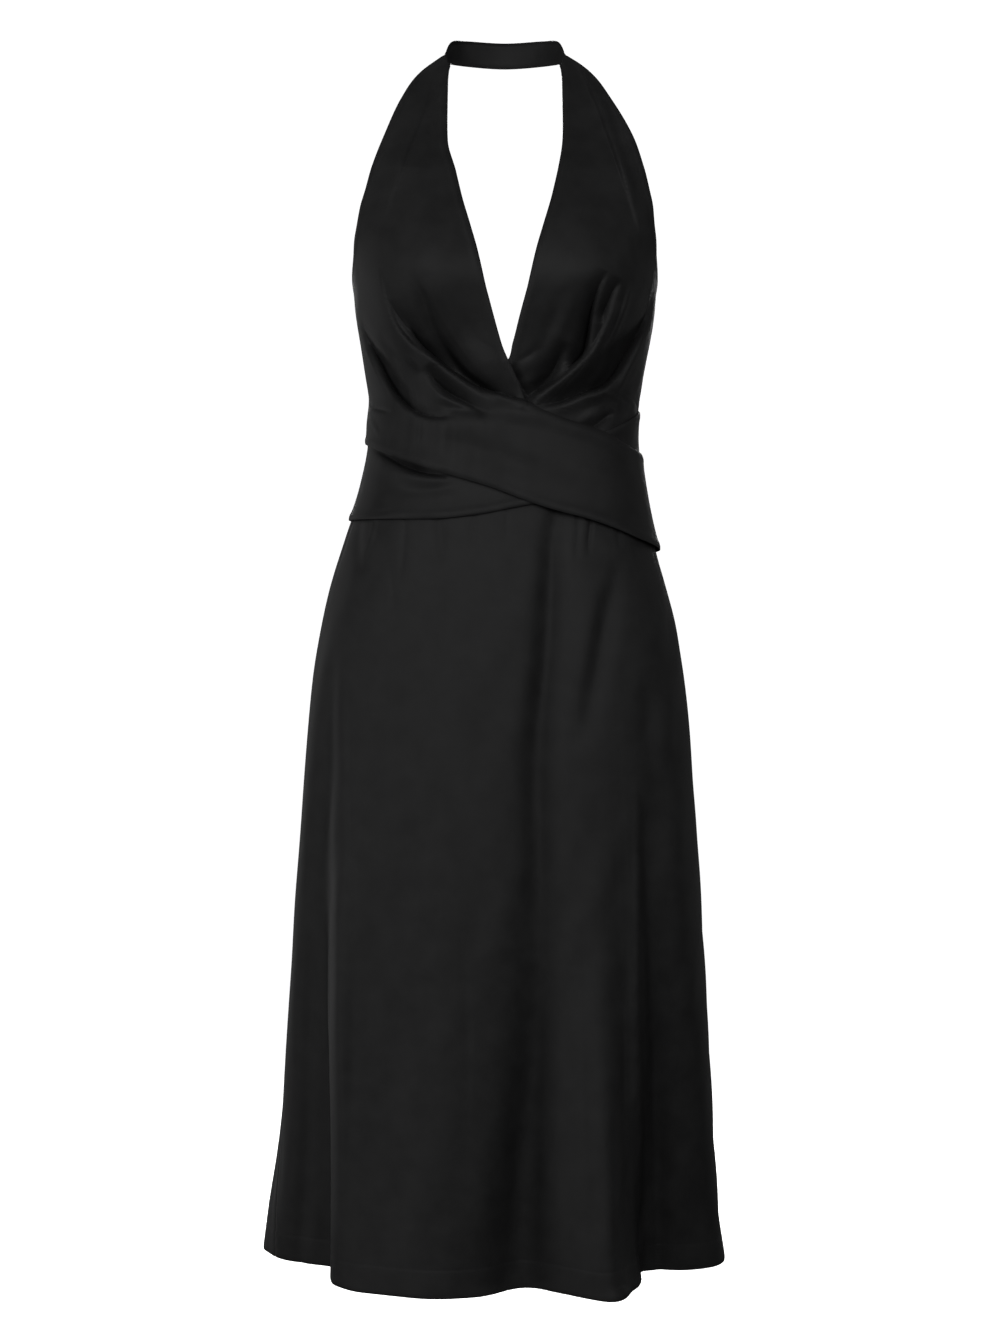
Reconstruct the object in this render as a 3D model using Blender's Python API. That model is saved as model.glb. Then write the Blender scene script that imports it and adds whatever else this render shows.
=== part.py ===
"""Halter cocktail dress: crossed bodice fronts, wrap band, waist band, gathered skirt and zip.

Metres, +Z up, the front faces -Y and +X is on the wearer's left. The origin is where the neck
strap rests on the nape: the middle of the strap's inner face at the centre back. Heights are
given as drops below it. Every cloth piece is a wall that stands a little outside one general
figure, whose level sections are the rows of FIGURE.
"""

from collections import namedtuple

import bmesh
import bpy
import numpy as np

# Cloth, seams and layers, and the reach of the eases where one layer passes under another
WALL = 0.0012
SEAM_GAP = 0.0003
LAYER = 0.0021
SIDE_PLANE_Y = -0.066
EDGE_EASE = 0.010
FRONT_LEAD = 0.005
BAND_LEAD = 0.010
FOLD_SEAT = 0.5
NORMAL_STEP = 0.5
WELD = 0.000002
BLOUSE_EASE = 0.006
GATHER_EASE = 0.030
FIRST_RISE = 0.3

# Levels, as drops below the nape
UNDERARM = 0.235
BACK_TOP = 0.332
WAIST_SEAM = 0.415
HEM = 1.135
SIDE_SEAM = 95.0
CENTRE_BACK = 180.0

# Grid sizes: cells across by cells along
SHOULDER_ROWS = 7
STRAP_CELLS = (2, 24)
CUP_CELLS = (16, 20)
WRAP_BAND_CELLS = (12, 6)
FRONT_CELLS = (16, 22)
BAND_CELLS = (5, 34)
BACK_CELLS = (9, 7)
SKIRT_FRONT_CELLS = (54, 14)
SKIRT_BACK_CELLS = (22, 14)
SKIRT_ROW_POWER = 1.2
HEM_SAMPLES = 720
EDGE_SAMPLES = 60

# Zip
TAPE_WIDTH = 0.024
TAPE_WALL = 0.0008
TAPE_GAP = 0.0007
TAPE_DROP_IN = 0.002
TAPE_SKIRT_ROWS = 3
TAPE_CELLS = (4, 5)
SLIDER_WIDTH = 0.0056
SLIDER_HEIGHT = 0.0090
SLIDER_PLATE = 0.0012
SLIDER_DROP = 0.3375
PIN_RADIUS = 0.0006
PIN_SIDES = 12
PIN_STAND_OFF = 0.0034
LUG_WIDTH = 0.0008
LUG_RADIUS = 0.0013
EYE_RADIUS = 0.0018
EYE_SIDES = 20
EYE_BORE = 0.0009
BORE_SIDES = 16
TAB_WIDTH = 0.0032
TAB_LENGTH = 0.0170
TAB_THICKNESS = 0.0010

# The figure that the dress is worn on: half width, front and back depth from the side plane
Section = namedtuple("Section", "drop half front back shift")
FIGURE = [
    Section(0.070, 0.1420, 0.0480, 0.0800, 0.0000),
    Section(0.100, 0.1500, 0.0645, 0.0850, 0.0000),
    Section(0.130, 0.1560, 0.0785, 0.0880, 0.0000),
    Section(0.160, 0.1570, 0.0905, 0.0890, 0.0000),
    Section(0.190, 0.1505, 0.1000, 0.0890, 0.0000),
    Section(0.212, 0.1430, 0.1045, 0.0880, 0.0000),
    Section(0.229, 0.1403, 0.1055, 0.0860, 0.0000),
    Section(0.257, 0.1375, 0.1030, 0.0810, 0.0000),
    Section(0.285, 0.1330, 0.0985, 0.0760, 0.0000),
    Section(0.312, 0.1283, 0.0940, 0.0725, -0.0005),
    Section(0.340, 0.1240, 0.0900, 0.0710, -0.0006),
    Section(0.368, 0.1222, 0.0880, 0.0715, -0.0012),
    Section(0.415, 0.1286, 0.0910, 0.0800, -0.0028),
    Section(0.466, 0.1421, 0.0975, 0.0980, -0.0058),
    Section(0.512, 0.1554, 0.1020, 0.1120, -0.0064),
    Section(0.568, 0.1675, 0.1060, 0.1200, -0.0060),
    Section(0.624, 0.1745, 0.1090, 0.1230, -0.0060),
    Section(0.708, 0.1810, 0.1140, 0.1270, -0.0060),
    Section(0.819, 0.1885, 0.1210, 0.1330, -0.0065),
    Section(0.931, 0.1957, 0.1280, 0.1400, -0.0074),
    Section(1.042, 0.2035, 0.1360, 0.1470, -0.0093),
    Section(1.098, 0.2095, 0.1400, 0.1500, -0.0105),
    Section(1.135, 0.2145, 0.1430, 0.1530, -0.0098),
]
SQUARENESS = 0.10

# The cups: how far they stand out of the sections, and where
CUP_OUT = 0.020
CUP_X = 0.078
CUP_DROP = 0.232
CUP_HALF_WIDTH = 0.046
CUP_RISE = 0.062
CUP_FALL = 0.052
CUP_SIDE_FADE = 3.0

# Neck strap and the tops of the fronts, for the wearer's left: lower edge, then upper edge (mm)
Rung = namedtuple("Rung", "low_x low_y low_drop up_x up_y up_drop")
NECK_RUNGS = [
    Rung(0.0, 66.0, 12.0, 0.0, 66.0, -12.0),
    Rung(36.5, 50.5, 13.0, 36.2, 51.0, -10.5),
    Rung(51.0, 19.0, 18.5, 49.8, 27.0, -4.0),
    Rung(51.6, -8.0, 27.0, 56.0, 8.0, 12.0),
]
SHOULDER_RUNGS = [
    Rung(51.6, -8.0, 27.0, 56.0, 8.0, 12.0),
    Rung(52.6, -24.0, 45.0, 78.5, 4.0, 29.5),
    Rung(52.6, -42.0, 75.0, 95.8, -20.0, 59.5),
    Rung(51.8, -63.0, 108.0, 110.5, -42.0, 98.0),
]

# Edges of the panels below the shoulder, row by row: angle round the figure and drop
Row = namedtuple("Row", "in_angle in_drop out_angle out_drop")
CUP_ROWS = [
    Row(-15.0, 0.1380, -50.0, 0.1270),
    Row(-12.8, 0.1660, -53.4, 0.1550),
    Row(-10.6, 0.1940, -59.5, 0.1810),
    Row(-8.6, 0.2200, -70.0, 0.2050),
    Row(-6.6, 0.2450, -87.0, 0.2250),
    Row(-4.1, 0.2700, -95.0, 0.2500),
    Row(-1.3, 0.2950, -95.0, 0.2850),
    Row(1.4, 0.3100, -95.0, 0.3150),
    Row(4.2, 0.3250, -95.0, 0.3430),
    Row(8.0, 0.3466, -95.0, 0.3715),
]
FRONT_ROWS = [
    Row(16.0, 0.1380, 50.0, 0.1270),
    Row(13.8, 0.1660, 53.4, 0.1550),
    Row(11.6, 0.1940, 59.5, 0.1810),
    Row(9.6, 0.2200, 70.0, 0.2050),
    Row(7.6, 0.2450, 87.0, 0.2250),
    Row(5.1, 0.2700, 95.0, 0.2500),
    Row(2.9, 0.2930, 95.0, 0.2800),
    Row(0.6, 0.3110, 95.0, 0.3080),
    Row(-10.0, 0.3260, 95.0, 0.3350),
    Row(-25.0, 0.3500, 95.0, 0.3600),
    Row(-45.0, 0.3820, 95.0, 0.3880),
    Row(-66.0, 0.4147, 95.0, 0.4147),
]

# The bands: their top and bottom edges by angle. The wrap band starts below the cup's last row
BandEdge = namedtuple("BandEdge", "angle top bottom")
WRAP_BAND_EDGES = [
    BandEdge(-95.0, 0.3715, 0.3755),
    BandEdge(-74.0, 0.3664, 0.3830),
    BandEdge(-52.0, 0.3611, 0.3935),
    BandEdge(-27.0, 0.3551, 0.4090),
    BandEdge(-5.0, 0.3497, 0.4270),
    BandEdge(8.0, 0.3466, 0.4355),
    BandEdge(14.0, 0.3527, 0.4400),
    BandEdge(22.0, 0.3596, 0.4455),
    BandEdge(31.0, 0.3655, 0.4508),
    BandEdge(43.5, 0.3719, 0.4592),
    BandEdge(57.0, 0.3815, 0.4680),
    BandEdge(75.0, 0.3875, 0.4740),
    BandEdge(95.0, 0.3890, 0.4770),
]
BAND_EDGES = [
    BandEdge(-95.0, 0.3720, 0.4500),
    BandEdge(-54.0, 0.3760, 0.4525),
    BandEdge(-24.0, 0.3800, 0.4510),
    BandEdge(-7.0, 0.3810, 0.4460),
    BandEdge(12.0, 0.3800, 0.4380),
    BandEdge(42.0, 0.3719, 0.4350),
    BandEdge(59.0, 0.3616, 0.4330),
    BandEdge(75.0, 0.3519, 0.4310),
    BandEdge(95.0, 0.3440, 0.4290),
]

# Folds of the bodice in the front view, drawn from left to right (mm; rise above 0 stands out)
Fold = namedtuple("Fold", "x0 drop0 x1 drop1 x2 drop2 rise0 rise1 rise2 above below")
WRAP_FOLDS = [
    Fold(-111, 228, -93, 281, 10, 345, 0.0, 4.5, 3.0, 3.0, 11.0),
    Fold(-108, 240, -86, 286, 6, 338, 0.0, -3.5, -2.0, 7.0, 3.0),
    Fold(-133, 262, -108, 322, -30, 366, 0.0, -5.0, -0.5, 9.0, 7.0),
    Fold(-122, 340, -98, 361, -45, 384, 0.0, 4.0, 1.0, 6.0, 9.0),
    Fold(-66, 322, -45, 345, -12, 362, 0.0, -2.5, 0.0, 6.0, 5.0),
    Fold(-124, 352, -113, 358, -103, 356, 0.0, -3.0, 0.0, 5.0, 5.0),
    Fold(-10, 372, 40, 398, 118, 425, 0.0, 1.2, 0.5, 10.0, 14.0),
]
FRONT_FOLDS = [
    Fold(18, 344, 70, 307, 110, 240, 2.0, 4.5, 0.0, 11.0, 4.0),
    Fold(22, 342, 60, 312, 85, 250, -1.0, -4.0, 0.0, 6.0, 6.0),
    Fold(30, 353, 82, 333, 122, 270, 0.5, 4.0, 0.0, 8.0, 5.0),
    Fold(42, 349, 84, 322, 124, 262, 0.0, -4.5, 0.0, 7.0, 5.0),
    Fold(60, 369, 93, 355, 118, 342, 2.0, 4.5, 0.0, 12.0, 4.0),
]

# Folds of the skirt: a path by three angles, the rise at its top, middle and end (mm)
Pleat = namedtuple("Pleat", "start end angle0 angle1 angle2 rise0 rise1 rise2 width0 width2")
PLEATS = [
    Pleat(0.450, 1.135, 17, 9, 8.5, -2.5, -9, -27, 3.5, 7.0),
    Pleat(0.480, 1.135, 27, 25.5, 25, 0, 4, 30, 5.0, 5.8),
    Pleat(0.600, 1.135, 44, 49, 57, 0, -12, -60, 5.0, 17.0),
    Pleat(0.560, 1.135, -12, -13, -14, 0, 3, 9, 8.0, 8.0),
    Pleat(0.560, 1.135, -60, -63, -70, 0, -22, -62, 5.0, 19.0),
    Pleat(0.640, 1.135, -43, -42, -40, 0, 7, -6, 6.0, 6.0),
    Pleat(0.900, 1.135, -52, -52, -52, 0, -8, -22, 9.0, 9.0),
    Pleat(0.900, 1.135, 43, 43, 44, 0, -8, -22, 8.0, 8.0),
    Pleat(0.440, 0.640, 47, 44, 38, -1.5, -5, 0, 3.0, 6.0),
    Pleat(0.450, 0.560, -60, -66, -70, -1.5, -4, 0, 3.0, 3.5),
    Pleat(0.450, 0.530, -46, -46, -46, -1.5, -2.5, 0, 2.5, 2.5),
    Pleat(0.450, 0.540, 34, 33, 32, -1.5, -2.5, 0, 2.5, 2.5),
    Pleat(0.700, 1.135, -112, -112, -112, 0, 6, 17, 9.0, 11.0),
    Pleat(0.700, 1.135, 112, 112, 112, 0, 4, 10, 9.0, 11.0),
    Pleat(0.480, 1.135, 138, 136, 134, 0, -9, -34, 6.0, 10.0),
    Pleat(0.480, 1.135, -140, -138, -137, 0, -8, -30, 6.0, 10.0),
    Pleat(0.600, 1.135, 154, 155, 157, 0, 6, 18, 6.0, 8.0),
    Pleat(0.600, 1.135, -156, -157, -158, 0, 6, 16, 6.0, 8.0),
    Pleat(0.640, 1.135, 180, 180, 180, 0, 4, 12, 6.0, 8.0),
]

Finish = namedtuple("Finish", "colour roughness metallic")
SATIN = Finish((0.012, 0.012, 0.013, 1.0), 0.42, 0.0)
TAPE = Finish((0.010, 0.010, 0.011, 1.0), 0.85, 0.0)
METAL = Finish((0.020, 0.020, 0.022, 1.0), 0.35, 0.6)


def through(keys, values, at):
    """Values at `at` on a smooth curve through the keys that never overshoots them."""
    keys = np.asarray(keys, float)
    values = np.asarray(values, float)
    step = np.diff(keys)
    slope = np.diff(values) / step
    tangent = np.concatenate([slope[:1], 0.5 * (slope[1:] + slope[:-1]), slope[-1:]])
    same = slope[1:] * slope[:-1] > 0
    steepest = 3.0 * np.minimum(np.abs(slope[1:]), np.abs(slope[:-1]))
    inner = np.clip(tangent[1:-1], -steepest, steepest)
    tangent[1:-1] = np.where(same, inner, 0.0)
    at = np.clip(at, keys[0], keys[-1])
    left = np.clip(np.searchsorted(keys, at, side="right") - 1, 0, len(keys) - 2)
    h = step[left]
    s = (at - keys[left]) / h
    rise = s * s * (3.0 - 2.0 * s)
    leave = s * (1.0 - s) ** 2
    arrive = s * s * (s - 1.0)
    return (values[left] + rise * (values[left + 1] - values[left])
            + h * (leave * tangent[left] + arrive * tangent[left + 1]))


def column(rows, name):
    """One named column of a table."""
    return np.array([getattr(row, name) for row in rows], float)


def figure(angle, drop):
    """Points on the figure: 0 degrees is the centre front and +90 the wearer's left side."""
    angle, drop = np.broadcast_arrays(np.radians(angle), np.asarray(drop, float))
    drops = column(FIGURE, "drop")
    half, front, back, shift = (through(drops, column(FIGURE, name), drop)
                                for name in ("half", "front", "back", "shift"))
    facing = np.cos(angle)
    depth = np.where(facing > 0, front, back)
    x = half * np.sin(angle) * (1 + SQUARENESS * facing ** 2)
    y = -depth * facing * (1 + SQUARENESS * np.sin(angle) ** 2)
    tall = np.where(drop < CUP_DROP, CUP_RISE, CUP_FALL)
    cup = CUP_OUT * np.exp(-((np.abs(x) - CUP_X) / CUP_HALF_WIDTH) ** 2
                           - ((drop - CUP_DROP) / tall) ** 2)
    y = y - cup * np.clip(CUP_SIDE_FADE * facing, 0.0, 1.0)
    return np.stack([x + shift, y + SIDE_PLANE_Y, -drop], -1)


def figure_outward(angle, drop):
    """Unit normals of the figure."""
    across = figure(np.asarray(angle) + NORMAL_STEP, drop) - figure(np.asarray(angle) - NORMAL_STEP, drop)
    lower = figure(angle, np.asarray(drop) + 0.001 * NORMAL_STEP)
    upper = figure(angle, np.asarray(drop) - 0.001 * NORMAL_STEP)
    normal = np.cross(lower - upper, across)
    return normal / np.linalg.norm(normal, axis=-1, keepdims=True)


def grid_outward(grid):
    """Unit normals of a grid whose rows run down and whose columns run to the wearer's left."""
    normal = np.cross(np.gradient(grid, axis=0), np.gradient(grid, axis=1))
    return normal / np.linalg.norm(normal, axis=-1, keepdims=True)


def off_figure(angle, drop, height=0.0):
    """Points that stand off the figure by a height."""
    base = figure(angle, drop)
    return base + figure_outward(angle, drop) * np.broadcast_to(height, base.shape[:-1])[..., None]


def parabola(first, middle, last, s):
    """The parabola through three values at s = 0, 1/2 and 1."""
    return (first * (1 - s) * (1 - 2 * s) + middle * 4 * s * (1 - s) + last * s * (2 * s - 1))


def beside(grid, path_x, path_drop):
    """Distance of a grid's points from a path in the front view, their side and nearest sample.

    The side is positive below a path that is drawn from left to right, and left of one drawn down.
    """
    gap_x = grid[..., 0, None] - path_x
    gap_drop = -grid[..., 2, None] - path_drop
    distance = np.hypot(gap_x, gap_drop)
    nearest = np.argmin(distance, axis=-1)
    near, gap_x, gap_drop = (np.take_along_axis(gap, nearest[..., None], -1)[..., 0]
                             for gap in (distance, gap_x, gap_drop))
    side = gap_drop * np.gradient(path_x)[nearest] - gap_x * np.gradient(path_drop)[nearest]
    return near, side, nearest


def fold_rise(grid, folds, samples=25):
    """How far a bodice panel's folds stand out at each of its points."""
    total = np.zeros(grid.shape[:2])
    s = np.linspace(0.0, 1.0, samples)
    for fold in folds:
        path_x = parabola(fold.x0, fold.x1, fold.x2, s) / 1000.0
        path_drop = parabola(fold.drop0, fold.drop1, fold.drop2, s) / 1000.0
        near, side, nearest = beside(grid, path_x, path_drop)
        width = np.where(side > 0, fold.below, fold.above) / 1000.0
        rise = np.interp(s[nearest], [0.0, 0.5, 1.0], [fold.rise0, fold.rise1, fold.rise2])
        total += rise * np.exp(-(near / width) ** 2)
    return total / 1000.0


def past_edge(grid, rows, band=()):
    """Signed distance of a grid's points past a front's free edge, in the front view."""
    fine = np.linspace(0.0, len(rows) - 1.0, 8 * len(rows))
    places = np.arange(len(rows))
    angle, drop = (through(places, column(rows, name), fine) for name in ("in_angle", "in_drop"))
    if band:
        right = np.linspace(angle[-1], SIDE_SEAM, EDGE_SAMPLES)[1:]
        angle = np.concatenate([angle, right])
        drop = np.concatenate([drop, through(column(band, "angle"), column(band, "top"), right)])
    path = figure(angle, drop)
    near, side, _ = beside(grid, path[:, 0], -path[:, 2])
    return np.where(side > 0, near, -near)


def soft_step(s):
    """0 below 0, 1 above 1, with an even ease between."""
    s = np.clip(s, 0.0, 1.0)
    return s * s * (3.0 - 2.0 * s)


def band_top_at(grid):
    """Drop of the waist band's top edge in front of each of a grid's points."""
    waist = through(column(FIGURE, "drop"), column(FIGURE, "half"), BAND_EDGES[0].top)
    angle = np.degrees(np.arcsin(np.clip(grid[..., 0] / waist, -1.0, 1.0)))
    return through(column(BAND_EDGES, "angle"), column(BAND_EDGES, "top"), angle)


def wrap_height(grid):
    """How far the wrap's inner face stands off the figure at a grid's points."""
    over_front = soft_step(1.0 + (FRONT_LEAD - past_edge(grid, FRONT_ROWS)) / EDGE_EASE)
    over_band = soft_step(1.0 + (BAND_LEAD - band_top_at(grid) - grid[..., 2]) / EDGE_EASE)
    least = np.maximum(over_front, 2.0 * over_band) * LAYER
    return np.maximum(least, FOLD_SEAT * least + fold_rise(grid, WRAP_FOLDS))


def front_height(grid):
    """How far the left front stands off the figure, kept clear of the wrap and the waist band."""
    rise = fold_rise(grid, FRONT_FOLDS)
    hidden = np.clip(1.0 + past_edge(grid, CUP_ROWS, WRAP_BAND_EDGES) / EDGE_EASE, 0.0, 1.0)
    room = wrap_height(grid) - LAYER
    rise = rise + hidden * np.minimum(0.0, room - rise)
    free = np.clip((band_top_at(grid) + grid[..., 2] - BLOUSE_EASE) / BLOUSE_EASE, 0.0, 1.0)
    return np.where(rise > 0, rise * free, rise)


def pleat_rise(angle, drop):
    """How far the skirt's folds stand out at an angle and a drop."""
    angle, drop = np.broadcast_arrays(np.asarray(angle, float), np.asarray(drop, float))
    total = np.zeros(angle.shape)
    for pleat in PLEATS:
        s = np.clip((drop - pleat.start) / (pleat.end - pleat.start), 0.0, 1.0)
        path = parabola(pleat.angle0, pleat.angle1, pleat.angle2, s)
        width = pleat.width0 + (pleat.width2 - pleat.width0) * s
        rise = np.interp(s, [0.0, 0.5, 1.0], [pleat.rise0, pleat.rise1, pleat.rise2])
        fade = np.clip(FIRST_RISE + (drop - pleat.start) / GATHER_EASE, 0.0, 1.0)
        apart = (angle - path + 180.0) % 360.0 - 180.0
        total += fade * rise * np.exp(-(apart / width) ** 2)
    return total / 1000.0


def skirt(angle, drop):
    """Points on the skirt: the figure moved level outward by the folds."""
    run = figure(np.asarray(angle) + NORMAL_STEP, drop) - figure(np.asarray(angle) - NORMAL_STEP, drop)
    level = np.stack([run[..., 1], -run[..., 0], np.zeros(run.shape[:-1])], -1)
    level /= np.linalg.norm(level, axis=-1, keepdims=True)
    return figure(angle, drop) + level * pleat_rise(angle, drop)[..., None]


def even_angles(first, last, count):
    """Angles that part the skirt's hem between two seams into equal lengths."""
    fine = np.linspace(first, last, HEM_SAMPLES + 1)
    hem = skirt(fine, HEM)
    length = np.concatenate([[0.0], np.cumsum(np.linalg.norm(np.diff(hem, axis=0), axis=-1))])
    return np.interp(np.linspace(0.0, length[-1], count + 1), length, fine)


def skirt_drops(down):
    """The skirt's rows, a little closer together over the hips."""
    return (WAIST_SEAM + (HEM - WAIST_SEAM) * np.linspace(0.0, 1.0, down + 1) ** SKIRT_ROW_POWER)[:, None]


def seam_trim(drop):
    """Half of the gap at a vertical seam, as an angle round the figure at a drop."""
    half = through(column(FIGURE, "drop"), column(FIGURE, "half"), drop)
    return np.degrees(0.5 * SEAM_GAP / half)


def rung_points(rungs, side):
    """Lower and upper edge points of the rungs, in metres, on one side of the body."""
    low = np.array([(side * r.low_x, r.low_y, -r.low_drop) for r in rungs]) / 1000.0
    up = np.array([(side * r.up_x, r.up_y, -r.up_drop) for r in rungs]) / 1000.0
    shift = np.array([0.0, SIDE_PLANE_Y, 0.0])
    return low + shift, up + shift


def through_each(keys, points, at):
    """A smooth curve through points, read at places given in the keys' own measure."""
    return np.stack([through(keys, points[:, k], at) for k in range(points.shape[1])], -1)


def along(points, count):
    """A curve through points, read at `count` + 1 even places by its own length."""
    length = np.concatenate([[0.0], np.cumsum(np.linalg.norm(np.diff(points, axis=0), axis=-1))])
    return through_each(length, points, np.linspace(0.0, length[-1], count + 1))


def laid_rows(rows, across, down):
    """Angles and drops of a grid laid between the two edges of a front, top row first."""
    edges = np.array(rows, float)
    chords = [np.linalg.norm(np.diff(figure(edges[:, k], edges[:, k + 1]), axis=0), axis=-1)
              for k in (0, 2)]
    place = np.concatenate([[0.0], np.cumsum(np.maximum(*chords))])
    at = np.linspace(0.0, place[-1], down + 1)
    in_angle, in_drop, out_angle, out_drop = (through(place, edges[:, k], at)[:, None]
                                              for k in range(4))
    s = np.linspace(0.0, 1.0, across + 1)
    angle = in_angle + (out_angle - in_angle) * s
    drop = in_drop + (out_drop - in_drop) * s
    if out_angle[0] < in_angle[0]:
        return angle[:, ::-1], drop[:, ::-1]
    return angle, drop


def shoulder_grid(side, below, down):
    """The top of a front, from its shoulder seam to the first rows laid on the figure."""
    low, up = rung_points(SHOULDER_RUNGS, side)
    if side > 0:
        first, last = low, up
    else:
        first, last = up, low
    s = np.linspace(0.0, 1.0, below.shape[1])[:, None]
    rungs = np.array([a + (b - a) * s for a, b in zip(first, last)])
    keys = np.concatenate([rungs, below[:2]])
    span = np.linalg.norm(np.diff(keys.mean(axis=1), axis=0), axis=-1)
    place = np.concatenate([[0.0], np.cumsum(span)])
    at = np.linspace(0.0, place[len(rungs)], down + 1)[:-1]
    return np.stack([through_each(place, keys[:, j], at) for j in range(keys.shape[1])], axis=1)


def front_panel(side, angle, drop, height_of):
    """Inner face of a front: its shoulder, then its rows on the figure, moved out by its height."""
    laid = figure(angle, drop)
    shoulder = shoulder_grid(side, laid, SHOULDER_ROWS)
    whole = np.concatenate([shoulder, laid])
    normal = grid_outward(whole)
    normal[len(shoulder) + 1:] = figure_outward(angle, drop)[1:]
    return whole + normal * height_of(whole)[..., None]


def clear_scene():
    """Start from an empty scene."""
    for old in list(bpy.data.objects):
        bpy.data.objects.remove(old, do_unlink=True)


def material(name, finish):
    """A plain material with the part's colour, roughness and metallic value."""
    made = bpy.data.materials.new(name)
    made.use_nodes = True
    shader = made.node_tree.nodes["Principled BSDF"]
    shader.inputs["Base Color"].default_value = finish.colour
    shader.inputs["Roughness"].default_value = finish.roughness
    shader.inputs["Metallic"].default_value = finish.metallic
    return made


def add_object(name, mesh, finish):
    """Link a mesh as a named object with its own material."""
    made = bpy.data.objects.new(name, mesh)
    bpy.context.scene.collection.objects.link(made)
    mesh.materials.append(material(name + "_finish", finish))
    return made


def cloth(name, grids, wall=WALL, finish=SATIN):
    """A wall of cloth: the grids are its inner face, and Solidify thickens it outward."""
    points = []
    faces = []
    for grid in grids:
        rows, columns = grid.shape[:2]
        first = np.arange((rows - 1) * columns).reshape(rows - 1, columns)[:, :-1].ravel()
        first = first + sum(len(block) for block in points)
        faces += np.stack([first, first + columns, first + columns + 1, first + 1], -1).tolist()
        points.append(grid.reshape(-1, 3))
    mesh = bpy.data.meshes.new(name)
    mesh.from_pydata(np.concatenate(points).tolist(), [], faces)
    shape = bmesh.new()
    shape.from_mesh(mesh)
    bmesh.ops.remove_doubles(shape, verts=shape.verts, dist=WELD)
    shape.to_mesh(mesh)
    shape.free()
    mesh.shade_smooth()
    made = add_object(name, mesh, finish)
    thicken = made.modifiers.new("wall", "SOLIDIFY")
    thicken.thickness = wall
    thicken.offset = 1.0
    return made


def make_neck_strap():
    """The strap round the nape, from one shoulder seam to the other."""
    across, down = STRAP_CELLS
    low, up = rung_points(NECK_RUNGS, 1)
    mirror = np.array([-1.0, 1.0, 1.0])
    low = np.concatenate([low[:0:-1], low * mirror])
    up = np.concatenate([up[:0:-1], up * mirror])
    low_line = along(low, down)
    up_line = along(up, down)
    for line in (low_line, up_line):
        for end, neighbour in ((0, 1), (-1, -2)):
            run = line[neighbour] - line[end]
            line[end] = line[end] + run / np.linalg.norm(run) * SEAM_GAP
    s = np.linspace(0.0, 1.0, across + 1)[:, None, None]
    return cloth("neck_strap", [up_line + (low_line - up_line) * s])


def make_bodice():
    """The two fronts: the left crosses under, the right crosses over and ends as the wrap band."""
    angle, drop = laid_rows(FRONT_ROWS, *FRONT_CELLS)
    cloth("front_left", [front_panel(1, angle, drop, front_height)])

    angle, drop = laid_rows(CUP_ROWS, *CUP_CELLS)
    cup = front_panel(-1, angle, drop, wrap_height)
    across, down = WRAP_BAND_CELLS
    right = np.linspace(angle[-1, -1], SIDE_SEAM, across + 1)[1:]
    keys = column(WRAP_BAND_EDGES, "angle")
    band_angle = np.concatenate([angle[-1], right])
    top = np.concatenate([drop[-1], through(keys, column(WRAP_BAND_EDGES, "top"), right)])
    bottom = through(keys, column(WRAP_BAND_EDGES, "bottom"), band_angle)
    s = np.linspace(0.0, 1.0, down + 1)[:, None]
    band_drop = top + (bottom - top) * s
    height = wrap_height(figure(band_angle, band_drop))
    cloth("front_right_wrap", [cup, off_figure(band_angle, band_drop, height)])


def make_waist_band():
    """The free-edged band round the front waist, one layer out from the bodice and the skirt."""
    across, down = BAND_CELLS
    angles = np.linspace(-SIDE_SEAM, SIDE_SEAM, down + 1)
    keys = column(BAND_EDGES, "angle")
    top = through(keys, column(BAND_EDGES, "top"), angles)
    bottom = through(keys, column(BAND_EDGES, "bottom"), angles)
    s = np.linspace(0.0, 1.0, across + 1)[:, None]
    cloth("waist_band", [off_figure(angles, top + (bottom - top) * s, LAYER)])


def make_backs():
    """The two low bodice backs, either side of the centre back seam."""
    across, down = BACK_CELLS
    s = np.linspace(0.0, 1.0, across + 1)
    top = UNDERARM + (BACK_TOP - UNDERARM) * soft_step(s)
    drop = top + (WAIST_SEAM - SEAM_GAP - top) * np.linspace(0.0, 1.0, down + 1)[:, None]
    trim = seam_trim(drop)
    angle = SIDE_SEAM + trim + (CENTRE_BACK - SIDE_SEAM - 2.0 * trim) * s
    cloth("back_left", [figure(angle, drop)])
    cloth("back_right", [figure(-angle, drop)[:, ::-1]])


def make_skirt():
    """The skirt: one front, and two backs either side of the centre back seam."""
    across, down = SKIRT_FRONT_CELLS
    drop = skirt_drops(down)
    trim = seam_trim(drop) / SIDE_SEAM
    cloth("skirt_front", [skirt(even_angles(-SIDE_SEAM, SIDE_SEAM, across) * (1.0 - trim), drop)])
    across, down = SKIRT_BACK_CELLS
    drop = skirt_drops(down)
    for name, first, last in (("skirt_back_left", SIDE_SEAM, CENTRE_BACK),
                              ("skirt_back_right", -CENTRE_BACK, -SIDE_SEAM)):
        middle = 0.5 * (first + last)
        shrink = 1.0 - 2.0 * seam_trim(drop) / (last - first)
        angle = middle + (even_angles(first, last, across) - middle) * shrink
        cloth(name, [skirt(angle, drop)])


def block(name, size, centre):
    """A box along the axes."""
    mesh = bpy.data.meshes.new(name)
    shape = bmesh.new()
    bmesh.ops.create_cube(shape, size=1.0)
    for vertex in shape.verts:
        vertex.co = [c + v * d for c, v, d in zip(centre, vertex.co, size)]
    shape.to_mesh(mesh)
    shape.free()
    return mesh


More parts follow.
